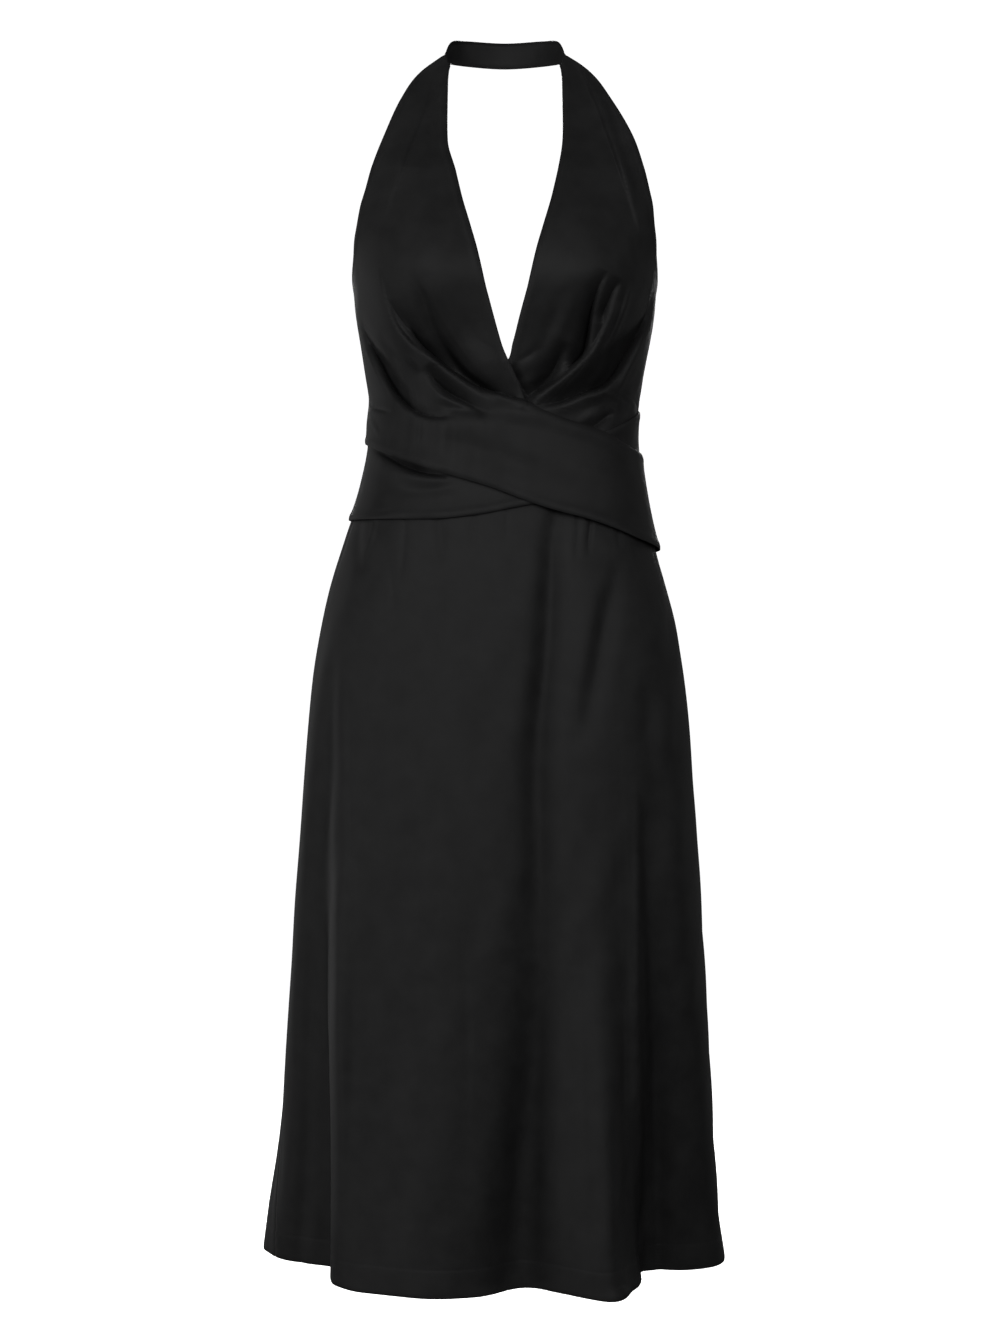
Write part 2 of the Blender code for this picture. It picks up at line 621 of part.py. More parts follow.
def rod(name, radius, length, centre, sides):
    """A round bar along X."""
    mesh = bpy.data.meshes.new(name)
    shape = bmesh.new()
    bmesh.ops.create_cone(shape, cap_ends=True, segments=sides, radius1=radius, radius2=radius,
                          depth=length)
    for vertex in shape.verts:
        x, y, z = vertex.co
        vertex.co = (centre[0] + z, centre[1] + x, centre[2] + y)
    shape.to_mesh(mesh)
    shape.free()
    return mesh


def guide(name, mesh):
    """A shape that only cuts or joins another, kept out of the model."""
    made = bpy.data.objects.new(name, mesh)
    bpy.context.scene.collection.objects.link(made)
    made.hide_render = True
    made.display_type = "WIRE"
    return made


def combine(target, name, mesh, operation):
    """Join a shape to an object, or cut it out."""
    step = target.modifiers.new(name, "BOOLEAN")
    step.object = guide(name, mesh)
    step.operation = operation
    return step


def make_zip():
    """The concealed zip: its tape inside the seam, the slider at the top and the pull tab."""
    half = through(column(FIGURE, "drop"), column(FIGURE, "half"), BACK_TOP)
    reach = np.degrees(0.5 * TAPE_WIDTH / half)
    across, down = TAPE_CELLS
    angle = CENTRE_BACK + np.linspace(-reach, reach, across + 1)
    above = np.linspace(BACK_TOP + TAPE_DROP_IN, WAIST_SEAM, down + 1)[:-1, None]
    drop = np.concatenate([above, skirt_drops(SKIRT_BACK_CELLS[1])[:TAPE_SKIRT_ROWS + 1]])
    cloth("zip_tape", [off_figure(angle, drop, -(TAPE_GAP + TAPE_WALL))], TAPE_WALL, TAPE)

    seat = figure(CENTRE_BACK, SLIDER_DROP + 0.5 * SLIDER_HEIGHT)
    face_y = seat[1] + WALL + SEAM_GAP
    middle_z = seat[2]
    slider_mesh = block("zip_slider", (SLIDER_WIDTH, SLIDER_PLATE, SLIDER_HEIGHT),
                        (seat[0], face_y + 0.5 * SLIDER_PLATE, middle_z))
    slider = add_object("zip_slider", slider_mesh, METAL)
    pin_y = face_y + PIN_STAND_OFF
    lug_x = 0.5 * (SLIDER_WIDTH - LUG_WIDTH)
    for side in (-1, 1):
        lug_depth = PIN_STAND_OFF + LUG_RADIUS - 0.5 * SLIDER_PLATE
        lug = block("lug_guide", (LUG_WIDTH, lug_depth, 2.0 * LUG_RADIUS),
                    (seat[0] + side * lug_x, face_y + 0.5 * SLIDER_PLATE + 0.5 * lug_depth, middle_z))
        combine(slider, "lug_guide", lug, "UNION")
    pin = rod("pin_guide", PIN_RADIUS, SLIDER_WIDTH - LUG_WIDTH, (seat[0], pin_y, middle_z),
              PIN_SIDES)
    combine(slider, "pin_guide", pin, "UNION")

    eye = rod("zip_pull", EYE_RADIUS, TAB_WIDTH, (0.0, 0.0, 0.0), EYE_SIDES)
    pull = add_object("zip_pull", eye, METAL)
    pull.location = (seat[0], pin_y, middle_z)
    tab = block("tab_guide", (TAB_WIDTH, TAB_THICKNESS, TAB_LENGTH - EYE_BORE),
                (seat[0], pin_y, middle_z - EYE_BORE - 0.5 * (TAB_LENGTH - EYE_BORE)))
    combine(pull, "tab_guide", tab, "UNION")
    bore = rod("bore_guide", EYE_BORE, 2.0 * TAB_WIDTH, (seat[0], pin_y, middle_z), BORE_SIDES)
    combine(pull, "bore_guide", bore, "DIFFERENCE")


def main():
    """Build the dress."""
    clear_scene()
    make_neck_strap()
    make_bodice()
    make_waist_band()
    make_backs()
    make_skirt()
    make_zip()


main()
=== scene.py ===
"""Looks of the halter cocktail dress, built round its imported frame.

Metres, +Z up, the front faces -Y, +X is on the wearer's left, and the origin is the seat of the
neck strap on the nape. Heights are given as drops below it. Each cloth piece is a grid of points
on one general figure, moved out by its layer, its folds, its sewn edges and the small waves of
the cloth, and then given a wall.
"""

import logging
from dataclasses import dataclass, field
from enum import Enum
from typing import Callable

import bpy
import numpy as np
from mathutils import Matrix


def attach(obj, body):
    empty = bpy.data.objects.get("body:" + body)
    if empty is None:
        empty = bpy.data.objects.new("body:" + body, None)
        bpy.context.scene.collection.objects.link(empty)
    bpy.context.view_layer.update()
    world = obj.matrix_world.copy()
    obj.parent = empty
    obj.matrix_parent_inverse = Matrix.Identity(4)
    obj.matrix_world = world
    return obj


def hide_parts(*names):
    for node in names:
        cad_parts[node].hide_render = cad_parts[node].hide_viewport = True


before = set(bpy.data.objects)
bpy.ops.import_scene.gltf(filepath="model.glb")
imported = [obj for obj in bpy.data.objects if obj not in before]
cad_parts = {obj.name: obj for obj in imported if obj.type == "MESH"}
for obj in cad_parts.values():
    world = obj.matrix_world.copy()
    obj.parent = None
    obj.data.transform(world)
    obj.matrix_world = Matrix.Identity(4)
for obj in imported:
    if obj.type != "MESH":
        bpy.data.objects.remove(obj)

LOG = logging.getLogger("halter_dress")
Grid = np.ndarray
Path = tuple[tuple[float, float], ...]

# The cloth's wall, the pitch of its layers, the gap at a seam (below zero the panels meet)
WALL = 0.0012
LAYER = 0.0021
SEAM_GAP = -0.0003
MM = 0.001
WELD = 2e-6

# Distances over which the cloth eases: at a seam, over an edge, on to what lies under the wrap,
# under the band, into a gather; how far a layer starts before an edge, how deep a fold may go
SEAM_EASE, EDGE_EASE, BRIDGE_EASE, BLOUSE_EASE, GATHER_EASE = 0.010, 0.010, 0.032, 0.006, 0.030
FRONT_LEAD, BAND_LEAD, FOLD_SINK = 0.005, 0.010, 0.019

# Reach of a free edge's lift, how far from a seam it and from an edge the waves fade, their lengths
LIFT_REACH, LIFT_FADE, WAVE_FADE, WAVE_LENGTHS = 0.010, 0.030, 0.012, (0.022, 0.075)

# Length of a period of the wave texture at a scale of 1
WAVE_PERIOD = np.pi / 10.0

# The plane of the side seams, the plane and the eye for which folds are written, the share of a
# normal that a fold keeps by axis, and how fast folds fade where the cloth turns to the side
SIDE_PLANE_Y = -0.066
VIEW_PLANE_Y = -0.164
CAMERA = (-0.00465, -2.466, -0.583)
FOLD_TURN = (0.12, 1.0, 0.0)
FOLD_FADE = 2.2

# Levels, as drops below the nape, and seams, as angles round the figure, with a slack for finding them
CROSSING = 0.312
UNDERARM = 0.235
BACK_TOP = 0.332
WAIST_SEAM = 0.415
HEM = 1.135
HEM_TURN = 0.024
SIDE_SEAM = 95.0
CENTRE_BACK = 180.0
ANGLE_SLACK = 0.1

# Rows of the figure: drop, half width, front depth, back depth, shift to the wearer's left
FIGURE_ROWS = np.array([
    (0.070, 0.1420, 0.0480, 0.0800, 0.0000),
    (0.100, 0.1500, 0.0645, 0.0850, 0.0000),
    (0.130, 0.1560, 0.0785, 0.0880, 0.0000),
    (0.160, 0.1570, 0.0905, 0.0890, 0.0000),
    (0.190, 0.1505, 0.1000, 0.0890, 0.0000),
    (0.212, 0.1430, 0.1045, 0.0880, 0.0000),
    (0.229, 0.1403, 0.1055, 0.0860, 0.0000),
    (0.257, 0.1375, 0.1030, 0.0810, 0.0000),
    (0.285, 0.1330, 0.0985, 0.0760, 0.0000),
    (0.312, 0.1283, 0.0940, 0.0725, -0.0005),
    (0.340, 0.1240, 0.0900, 0.0710, -0.0006),
    (0.368, 0.1222, 0.0880, 0.0715, -0.0012),
    (0.415, 0.1286, 0.0910, 0.0800, -0.0028),
    (0.466, 0.1421, 0.0975, 0.0980, -0.0058),
    (0.512, 0.1554, 0.1020, 0.1120, -0.0064),
    (0.568, 0.1675, 0.1060, 0.1200, -0.0060),
    (0.624, 0.1745, 0.1090, 0.1230, -0.0060),
    (0.708, 0.1810, 0.1140, 0.1270, -0.0060),
    (0.819, 0.1885, 0.1210, 0.1330, -0.0065),
    (0.931, 0.1957, 0.1280, 0.1400, -0.0074),
    (1.042, 0.2035, 0.1360, 0.1470, -0.0093),
    (1.098, 0.2095, 0.1400, 0.1500, -0.0105),
    (1.135, 0.2145, 0.1430, 0.1530, -0.0098),
])

# Neck strap and tops of the fronts, wearer's left: lower edge x, y, drop and upper edge (mm)
NECK_RUNGS = np.array([
    (0.0, 66.0, 12.0, 0.0, 66.0, -12.0),
    (36.5, 50.5, 13.0, 36.2, 51.0, -10.5),
    (51.0, 19.0, 18.5, 49.8, 27.0, -4.0),
    (51.6, -8.0, 27.0, 56.0, 8.0, 12.0),
])
SHOULDER_RUNGS = np.array([
    (51.6, -8.0, 27.0, 56.0, 8.0, 12.0),
    (52.6, -24.0, 45.0, 78.5, 4.0, 29.5),
    (52.6, -42.0, 75.0, 95.8, -20.0, 59.5),
    (51.8, -63.0, 108.0, 110.5, -42.0, 98.0),
])

# How much further out the left shoulder's outer edge lies at each rung (mm)
LEFT_SHOULDER_OUT = np.array([0.0, 0.5, 1.8, 6.0])

# Edges of the panels below the shoulder: inner angle and drop, outer angle and drop
CUP_ROWS = np.array([
    (-15.0, 0.1380, -47.6, 0.1270),
    (-12.8, 0.1660, -51.6, 0.1550),
    (-10.6, 0.1940, -58.4, 0.1810),
    (-8.6, 0.2200, -70.0, 0.2050),
    (-6.6, 0.2450, -87.0, 0.2250),
    (-5.8, 0.2530, -95.0, 0.2350),
    (-4.1, 0.2700, -95.0, 0.2530),
    (-1.3, 0.2950, -95.0, 0.2850),
    (1.4, 0.3100, -95.0, 0.3150),
    (4.2, 0.3250, -95.0, 0.3430),
    (8.0, 0.3466, -95.0, 0.3715),
])
FRONT_ROWS = np.array([
    (16.0, 0.1380, 50.8, 0.1270),
    (13.8, 0.1660, 54.4, 0.1550),
    (11.6, 0.1940, 59.5, 0.1810),
    (9.6, 0.2200, 70.0, 0.2050),
    (7.6, 0.2450, 87.0, 0.2250),
    (6.8, 0.2530, 95.0, 0.2350),
    (5.1, 0.2700, 95.0, 0.2530),
    (2.9, 0.2930, 95.0, 0.2800),
    (0.6, 0.3110, 95.0, 0.3080),
    (-10.0, 0.3260, 95.0, 0.3350),
    (-25.0, 0.3500, 95.0, 0.3600),
    (-45.0, 0.3820, 95.0, 0.3880),
    (-66.0, 0.4147, 95.0, 0.4147),
])

# The bands: angle, drop of the top edge, drop of the bottom edge
WRAP_BAND_ROWS = np.array([
    (-95.0, 0.3715, 0.3755),
    (-74.0, 0.3664, 0.3805),
    (-52.0, 0.3611, 0.3905),
    (-27.0, 0.3551, 0.4065),
    (-5.0, 0.3497, 0.4220),
    (8.0, 0.3466, 0.4345),
    (14.0, 0.3527, 0.4400),
    (22.0, 0.3596, 0.4455),
    (31.0, 0.3655, 0.4508),
    (43.5, 0.3719, 0.4592),
    (57.0, 0.3815, 0.4680),
    (75.0, 0.3875, 0.4740),
    (95.0, 0.3890, 0.4770),
])
BAND_ROWS = np.array([
    (-95.0, 0.3720, 0.4480),
    (-54.0, 0.3760, 0.4502),
    (-24.0, 0.3800, 0.4512),
    (-7.0, 0.3810, 0.4473),
    (12.0, 0.3800, 0.4380),
    (42.0, 0.3719, 0.4350),
    (59.0, 0.3616, 0.4330),
    (75.0, 0.3519, 0.4310),
    (95.0, 0.3440, 0.4290),
])


@dataclass(frozen=True)
class Crease:
    """A fold as the camera sees it (mm): its path, the rise along it, its widths either side.

    A path that runs right has `above` over it; a path that runs down has `above` on its right.
    `spread` is its last width over its first, and `pinch` the power of its slope above.
    """

    path: Path
    rise: tuple[float, ...]
    above: float
    below: float
    spread: float = 1.0
    pinch: float = 2.0


# Folds: path, rise, width above, width below, spread, pinch
WRAP_CREASES = tuple(Crease(*row) for row in (
    (((-113, 226), (-110, 240), (-107, 254), (-103, 267), (-97, 280), (-89, 291), (-80, 300), (-70, 306.5),
     (-60, 313.5), (-50, 320.5), (-40, 326.5), (-30, 332), (-20, 336.5), (-10, 340.5), (0, 344), (12, 349)),
     (0, 2.6, 4.6, 5.4, 5.6, 5.4, 4.8, 3.8, 3, 2.2), 2, 12),
    (((-98, 255), (-92, 266), (-86, 276), (-80, 288), (-73, 297), (-66, 303), (-58, 309.5), (-50, 316),
     (-42, 321.5), (-32, 328), (-20, 333.5), (-8, 337.5), (4, 341.5), (15, 346.5)),
     (0, -2, -5, -11, -15, -15, -13, -10.5, -8.5, -6.5, -4.5, -2), 9, 2.2, 1, 1.4),
    (((-102, 256), (-96, 268), (-90, 277), (-84, 286), (-78, 295)), (0, -3, -4, -3, 0), 3, 2.4),
    (((-86, 231), (-79, 240), (-74, 250), (-70, 262), (-66, 274), (-60, 286), (-53, 297), (-46, 307),
     (-38, 317), (-29, 325), (-17, 333), (-3, 339)), (0, -2.4, -4.6, -5.6, -7.6, -10, -11.5, -11.5, -8, 0),
     3.6, 7, 1, 1.7),
    (((-72, 236), (-63, 252), (-55, 270), (-44, 288), (-32, 305), (-18, 320), (-6, 329)),
     (0, 1.8, 2.8, 3.2, 3, 1.8, 0), 12, 4),
    (((-129, 262), (-127, 275), (-123, 288), (-118, 300), (-112, 311), (-107, 322), (-102, 331), (-96, 340),
     (-88, 348), (-80, 354.5), (-70, 359), (-58, 361), (-44, 360)),
     (0, -3, -7, -11, -14, -14, -12, -8, -5.6, 0), 6, 2.2, 1, 1.4),
    (((-131, 272), (-127, 290), (-120, 308), (-112, 325), (-104, 339), (-95, 350), (-86, 360)),
     (0, 1.6, 3, 3.8, 3, 1.6, 0), 2, 9),
    (((-70, 314), (-65, 323), (-58, 331), (-49, 338), (-39, 344), (-28, 350), (-15, 357)),
     (0, -7, -10, -8, -4.4, 0), 9, 3, 1, 1.4),
    (((-75, 320), (-68, 331), (-60, 340), (-49, 346.5), (-36, 351), (-20, 354)), (0, 1.8, 2.4, 2, 1, 0), 2,
     7),
    (((-60, 345), (-46, 352), (-30, 355), (-8, 358)), (0, -2, -2, 0), 5, 5),
    (((-88, 303), (-80, 312), (-73, 321)), (0, 1.2, 0), 2.4, 3),
    (((-96, 318), (-91, 327), (-85, 338)), (0, 0.9, 0), 2.4, 3),
    (((-112, 285), (-105, 295), (-97, 305), (-91, 315)), (0, -1.4, -1.4, 0), 4, 4),
    (((-121, 351), (-109, 354), (-97, 357)), (0, -2.6, 0), 2.4, 2),
    (((-118, 360), (-112, 368), (-107, 380)), (0, 0.9, 0), 2, 2),
    (((-65, 60), (-77, 96), (-88, 122), (-97, 148), (-104, 168), (-108, 188)), (0, 1.3, 1.9, 1.9, 1.2, 0),
     2.8, 9),
    (((-120, 380), (-104, 387), (-80, 396), (-58, 404), (-38, 411)), (0, 1.6, 2, 1.4, 0), 9, 8),
    (((-12, 374), (40, 400), (118, 427)), (0, 1, 0.5), 10, 13),
    (((-124, 356), (-60, 366), (0, 370), (60, 384), (120, 412)), (2, 4.4, 5.6, 5.2, 3.2), 14, 42),
    (((-100, 372), (-60, 380), (-10, 392), (40, 412)), (0, -0.5, -0.6, 0), 7, 7),
))
FRONT_CREASES = tuple(Crease(*row) for row in (
    (((17, 346), (22, 340), (28, 334), (34, 328), (40, 321), (45, 313), (49, 304), (54, 292)),
     (-1.5, -9, -14, -15, -12.5, -7, 0), 7, 6, 1, 1.4),
    (((55, 318), (61, 312), (67, 306), (71, 300), (73, 292), (74.5, 283), (76, 273), (78, 262), (81, 251),
     (85, 240), (90, 230)), (-2, -12, -17, -18, -16, -12, -8, -4, 0), 6.4, 2.2, 1, 1.6),
    (((19, 346), (30, 340), (40, 334.5), (50, 328), (60, 320), (66, 314.5), (73, 307.5), (79, 300), (84, 291),
     (89, 281), (94, 269), (99, 256)), (1, 3.4, 4.8, 5.4, 5.6, 5.6, 5, 4, 2.6, 0), 2, 8),
    (((84, 304), (92, 294), (99, 281), (104, 268), (108, 255), (112, 240)), (0, 2, 3, 3, 2, 0), 2, 2.8),
    (((84, 278), (89, 264), (94, 252), (101, 236)), (0, -6.5, -6.5, 0), 6, 2.8, 1, 1.5),
    (((25, 350), (37, 348.5), (47, 346.5), (57, 343), (67, 338.5), (78, 335), (88, 331), (96, 324),
     (102, 315), (108, 304), (115, 292), (121, 281), (127, 268), (131, 255), (135, 240)),
     (-1, -5, -9, -13, -16, -17, -16, -14, -12, -10, -8, -3), 12, 3, 1, 1.5),
    (((44, 351.5), (58, 347.5), (69, 342.5), (80, 338.5), (91, 334.5), (99, 327.5), (106, 318), (112, 307.5),
     (119, 295), (126, 282), (131, 268)), (0, 2.2, 3.6, 4.4, 4.8, 4.6, 4, 3, 1), 2.2, 9),
    (((98, 339), (105, 326), (112, 312), (120, 298)), (0, 1.6, 1.4, 0), 1.8, 2.2),
    (((72, 374), (79, 369), (87, 362.5), (96, 355)), (-2, -4.6, -3.8, 0), 4, 3),
    (((62, 368), (76, 359), (90, 352)), (0, 2, 0), 5, 4),
    (((106, 368), (109, 352), (112, 338)), (0, 1, 0), 2, 2.2),
    (((52, 244), (46, 262), (39, 280), (32, 297), (24, 311)), (0, -0.8, -1, -1, 0), 5, 6),
    (((64, 244), (58, 262), (50, 281), (41, 299), (32, 314)), (0, 0.8, 1.2, 1, 0), 5, 5),
    (((10, 312), (20, 306), (30, 297)), (0, -1, 0), 3, 3),
    (((55, 25), (67, 51), (82, 79), (92, 105), (104, 140), (113, 170), (122, 203)),
     (0, 2.2, 3.2, 3.8, 3.8, 2.4, 0), 5, 2.2),
    (((5, 313), (11, 326), (17, 338), (21, 346)), (0, -5.5, -6, -4), 4, 4),
))
BAND_CREASES = tuple(Crease(*row) for row in (
    (((-119, 388), (-108, 394), (-98, 400), (-88, 405), (-76, 409), (-64, 411.5), (-50, 413)),
     (0, -4.6, -8.6, -9, -5.6, 0), 9, 2.6, 1, 1.5),
    (((-113, 400), (-100, 407), (-88, 412), (-74, 416), (-58, 417), (-42, 417)), (0, 1.6, 2.2, 1.8, 1, 0),
     2.4, 7),
    (((-104, 424), (-80, 426), (-60, 424.5), (-38, 421)), (0, -1.4, -1.8, 0), 7, 5),
    (((-128, 446), (-112, 446), (-96, 444)), (0, -1, 0), 2.2, 2.2),
))


@dataclass(frozen=True)
class Pleat:
    """A fold of the skirt, down to the hem: its angles (degrees) and rises (mm) at three places.

    `start` is the drop of its upper end, and `widths` are its widths in degrees at both ends.
    """

    start: float
    angles: tuple[float, float, float]
    rises: tuple[float, float, float]
    widths: tuple[float, float]


PLEATS = tuple(Pleat(*row) for row in (
    (0.45, (17, 9, 8.5), (-2.5, -9, -27), (3.5, 7)),
    (0.48, (27, 25.5, 25), (0, 4, 30), (5, 5.8)),
    (0.6, (44, 49, 57), (0, -12, -60), (5, 17)),
    (0.56, (-12, -13, -14), (0, 3, 9), (8, 8)),
    (0.56, (-60, -63, -70), (0, -22, -62), (5, 19)),
    (0.64, (-43, -42, -40), (0, 7, -6), (6, 6)),
    (0.9, (-52, -52, -52), (0, -8, -22), (9, 9)),
    (0.9, (43, 43, 44), (0, -8, -22), (8, 8)),
    (0.7, (-112, -112, -112), (0, 6, 17), (9, 11)),
    (0.7, (112, 112, 112), (0, 4, 10), (9, 11)),
    (0.48, (138, 136, 134), (0, -9, -34), (6, 10)),
    (0.48, (-140, -138, -137), (0, -8, -30), (6, 10)),
    (0.6, (154, 155, 157), (0, 6, 18), (6, 8)),
    (0.6, (-156, -157, -158), (0, 6, 16), (6, 8)),
    (0.64, (180, 180, 180), (0, 4, 12), (6, 8)),
))

# Smaller folds of the skirt's front, as far as its gathers
SKIRT_CREASES = tuple(Crease(*row) for row in (
    (((46, 438), (44, 460), (42, 490), (41, 515), (40, 545), (37, 579), (32, 620), (28, 675), (31, 720),
     (35, 772), (37, 844), (32, 916), (25, 965), (18, 1012), (8, 1085), (2, 1135)),
     (-5.5, -7.2, -8.2, -8.6, -8.6, -8.6, -8.8, -9, -9.6, -10.4, -11, -11.4, -11.6, -11.6), 14, 9, 2.2),
    (((58, 440), (52, 480), (52, 520), (48, 560), (44, 620), (42, 690)), (0.6, 0.9, 1, 1, 0.8, 0), 9, 7, 1.6),
    (((103, 476), (98, 502), (92, 530), (87, 555), (83, 580), (78, 605), (72, 635), (66, 660)),
     (0, -2.6, -4.2, -4.8, -4.8, -4.2, -2.4, 0), 9, 8, 1.4),
    (((84, 505), (76, 550), (71, 580), (66, 610), (60, 655)), (0, 1.2, 1.6, 1.2, 0), 7, 9),
    (((77, 444), (75, 462), (73, 484)), (-2.4, -2.6, 0), 2.2, 2.2),
    (((99, 452), (100, 466), (101, 480)), (-1.2, -1.4, 0), 1.8, 1.8),
    (((65, 446), (64, 470), (62, 496)), (-1, -1.2, 0), 3, 3),
    (((128, 580), (127, 610), (128, 640), (134, 680), (140, 720), (142, 765)), (0, -2.4, -3.4, -3.4, -2.4, 0),
     12, 8),
    (((116, 680), (117, 760), (117, 850), (117, 900), (117, 950), (118, 1000), (118, 1050), (118, 1135)),
     (0, 1.4, 2.6, 3.6, 4.4, 4.6, 4.4, 4), 3.4, 4),
    (((104, 800), (105, 850), (105, 900), (105, 950), (106, 1000), (106, 1050), (104, 1135)),
     (0, -1.2, -1.8, -2.2, -2.6, -3, -3), 4, 8),
    (((124, 690), (126, 760), (129, 840), (131, 900), (133, 960), (134, 1010), (135, 1060), (138, 1135)),
     (0, -3, -6, -8, -9, -9, -7, -4), 12, 5),
    (((-160, 630), (-155, 700), (-151, 770), (-149, 830), (-147, 900), (-146, 1000), (-147, 1060),
     (-151, 1130)), (0, 1.4, 2.2, 2.4, 2.4, 2.4, 2.4, 1.6), 5, 8),
    (((-141, 550), (-139, 620), (-138, 700), (-137, 800), (-136, 900), (-137, 1010)),
     (0, -1.6, -1.6, -1.4, -1.2, 0), 7, 3.4),
    (((-165, 700), (-168, 780), (-172, 860), (-174, 940), (-176, 1010), (-179, 1070), (-183, 1120)),
     (0, -2, -3.4, -4, -4, -3.4, -2.4), 6, 9),
    (((-38, 810), (-35, 870), (-33, 910), (-33, 950), (-34, 985), (-30, 1030)), (0, -0.6, -1.1, -1, -0.6, 0),
     3, 6),
    (((-50, 500), (-55, 555), (-61, 620)), (0, -1.2, 0), 9, 8),
    (((-114, 446), (-118, 465), (-125, 486)), (1.2, 1.4, 0), 2.2, 2.4),
    (((-128, 448), (-130, 475), (-128, 510)), (-1.6, -1.8, 0), 4, 4),
    (((-88, 446), (-90, 475), (-94, 510)), (-1.2, -1.4, 0), 2.6, 2.6),
    (((-60, 446), (-57, 468), (-54, 496)), (-1.4, -1.9, 0), 5, 5),
    (((-102, 490), (-100, 512), (-98, 536)), (0, -1, 0), 3, 3),
    (((-27, 446), (-28, 466), (-31, 488)), (-0.7, -0.9, 0), 3, 3),
    (((2, 446), (1, 462), (-1, 480)), (-0.5, -0.6, 0), 3, 3),
))

# Gathers round the sides and back: angle, drop of the end, depth (mm), half width (degrees)
GATHERS = np.array([
    (-84, 0.520, 0.9, 1.6), (-76, 0.540, 1.2, 1.8), (74, 0.520, 1.1, 1.7), (86, 0.540, 0.9, 1.6),
    (104, 0.520, 1.0, 1.7), (117, 0.540, 1.2, 1.8), (126, 0.500, 0.8, 1.5), (143, 0.530, 1.3, 1.8),
    (152, 0.490, 0.7, 1.4), (168, 0.510, 0.9, 1.6), (-103, 0.530, 1.1, 1.7), (-115, 0.510, 0.9, 1.6),
    (-127, 0.545, 1.3, 1.9), (-146, 0.510, 1.0, 1.6), (-162, 0.530, 1.2, 1.8), (-171, 0.490, 0.7, 1.4),
])


def through(keys: Grid, values: Grid, at: Grid) -> Grid:
    """Read a smooth curve through keys that never overshoots them.

    Cubic pieces, whose slope at a key is the mean of its neighbours' slopes, held to three times
    the smaller one and to zero where they differ in sign.

    Args:
        keys: rising places of the known values.
        values: the known values, along the first axis.
        at: places to read.

    Returns:
        The values there, in the shape of `at`, and of one value.
    """
    spread = (-1,) + (1,) * (values.ndim - 1)
    step = np.diff(keys).reshape(spread)
    slope = np.diff(values, axis=0) / step
    tangent = np.concatenate([slope[:1], 0.5 * (slope[1:] + slope[:-1]), slope[-1:]])
    steepest = 3.0 * np.minimum(np.abs(slope[1:]), np.abs(slope[:-1]))
    inner = np.clip(tangent[1:-1], -steepest, steepest)
    tangent[1:-1] = np.where(slope[1:] * slope[:-1] > 0, inner, 0.0)
    at = np.clip(at, keys[0], keys[-1])
    left = np.clip(np.searchsorted(keys, at, side="right") - 1, 0, len(keys) - 2)
    h = step[left]
    s = (at - keys[left]).reshape(h.shape) / h
    return (values[left] + s * s * (3.0 - 2.0 * s) * (values[left + 1] - values[left])
            + h * (s * (1.0 - s) ** 2 * tangent[left] + s * s * (s - 1.0) * tangent[left + 1]))


def soft_step(s: Grid) -> Grid:
    """0 below 0 and 1 above 1, with the cubic 3s^2 - 2s^3 between."""
    s = np.clip(s, 0.0, 1.0)
    return s * s * (3.0 - 2.0 * s)


def bell(s: Grid) -> Grid:
    """The bell exp(-s^2)."""
    return np.exp(-np.square(s))


def parabola(values: tuple[float, float, float], s: Grid) -> Grid:
    """The parabola through three values at s = 0, 1/2 and 1."""
    first, middle, last = values
    return first * (1 - s) * (1 - 2 * s) + middle * 4 * s * (1 - s) + last * s * (2 * s - 1)


def run_length(points: Grid, axis: int) -> Grid:
    """Length run from the first row or column, by the chords between points.

    Args:
        points: a line or a grid of points.
        axis: 0 to run down from the first row, 1 to run across from the first column.

    Returns:
        The length run to each point.
    """
    steps = np.linalg.norm(np.diff(points, axis=axis), axis=-1)
    start = np.zeros_like(np.take(steps, [0], axis=axis))
    return np.concatenate([start, np.cumsum(steps, axis=axis)], axis=axis)


def unit(vectors: Grid) -> Grid:
    """Vectors scaled to a length of 1."""
    return vectors / np.linalg.norm(vectors, axis=-1, keepdims=True)


def outward_of(grid: Grid) -> Grid:
    """Unit normals of a grid whose rows run down and whose columns run to the wearer's left."""
    return unit(np.cross(np.gradient(grid, axis=0), np.gradient(grid, axis=1)))


def reach_to(grid: Grid, line: Grid) -> Grid:
    """Distance from each point of a grid to the nearest point of a line.

    Args:
        grid: the points.
        line: points along the line.

    Returns:
        The distances: roots of the smallest sums of squares.
    """
    flat = grid.reshape(-1, 1, 3).astype(np.float32)
    squares = sum((flat[..., k] - line[:, k].astype(np.float32)) ** 2 for k in range(3))
    return np.sqrt(squares.min(axis=1)).reshape(grid.shape[:-1]).astype(float)


def beside(x: Grid, drop: Grid, path_x: Grid, path_drop: Grid) -> tuple[Grid, Grid, Grid]:
    """Place points beside a path in the front view.

    Args:
        x: the points' places across.
        drop: the points' drops.
        path_x: samples of the path, across.
        path_drop: samples of the path, as drops.

    Returns:
        The distance to the nearest sample, the side of it (positive below a path that is drawn
        from left to right) and the number of that sample.
    """
    gap_x = x[..., None] - path_x
    gap_drop = drop[..., None] - path_drop
    nearest = np.argmin(gap_x ** 2 + gap_drop ** 2, axis=-1)
    gap_x, gap_drop = (np.take_along_axis(gap, nearest[..., None], -1)[..., 0] for gap in (gap_x, gap_drop))
    side = gap_drop * np.gradient(path_x)[nearest] - gap_x * np.gradient(path_drop)[nearest]
    return np.hypot(gap_x, gap_drop), side, nearest


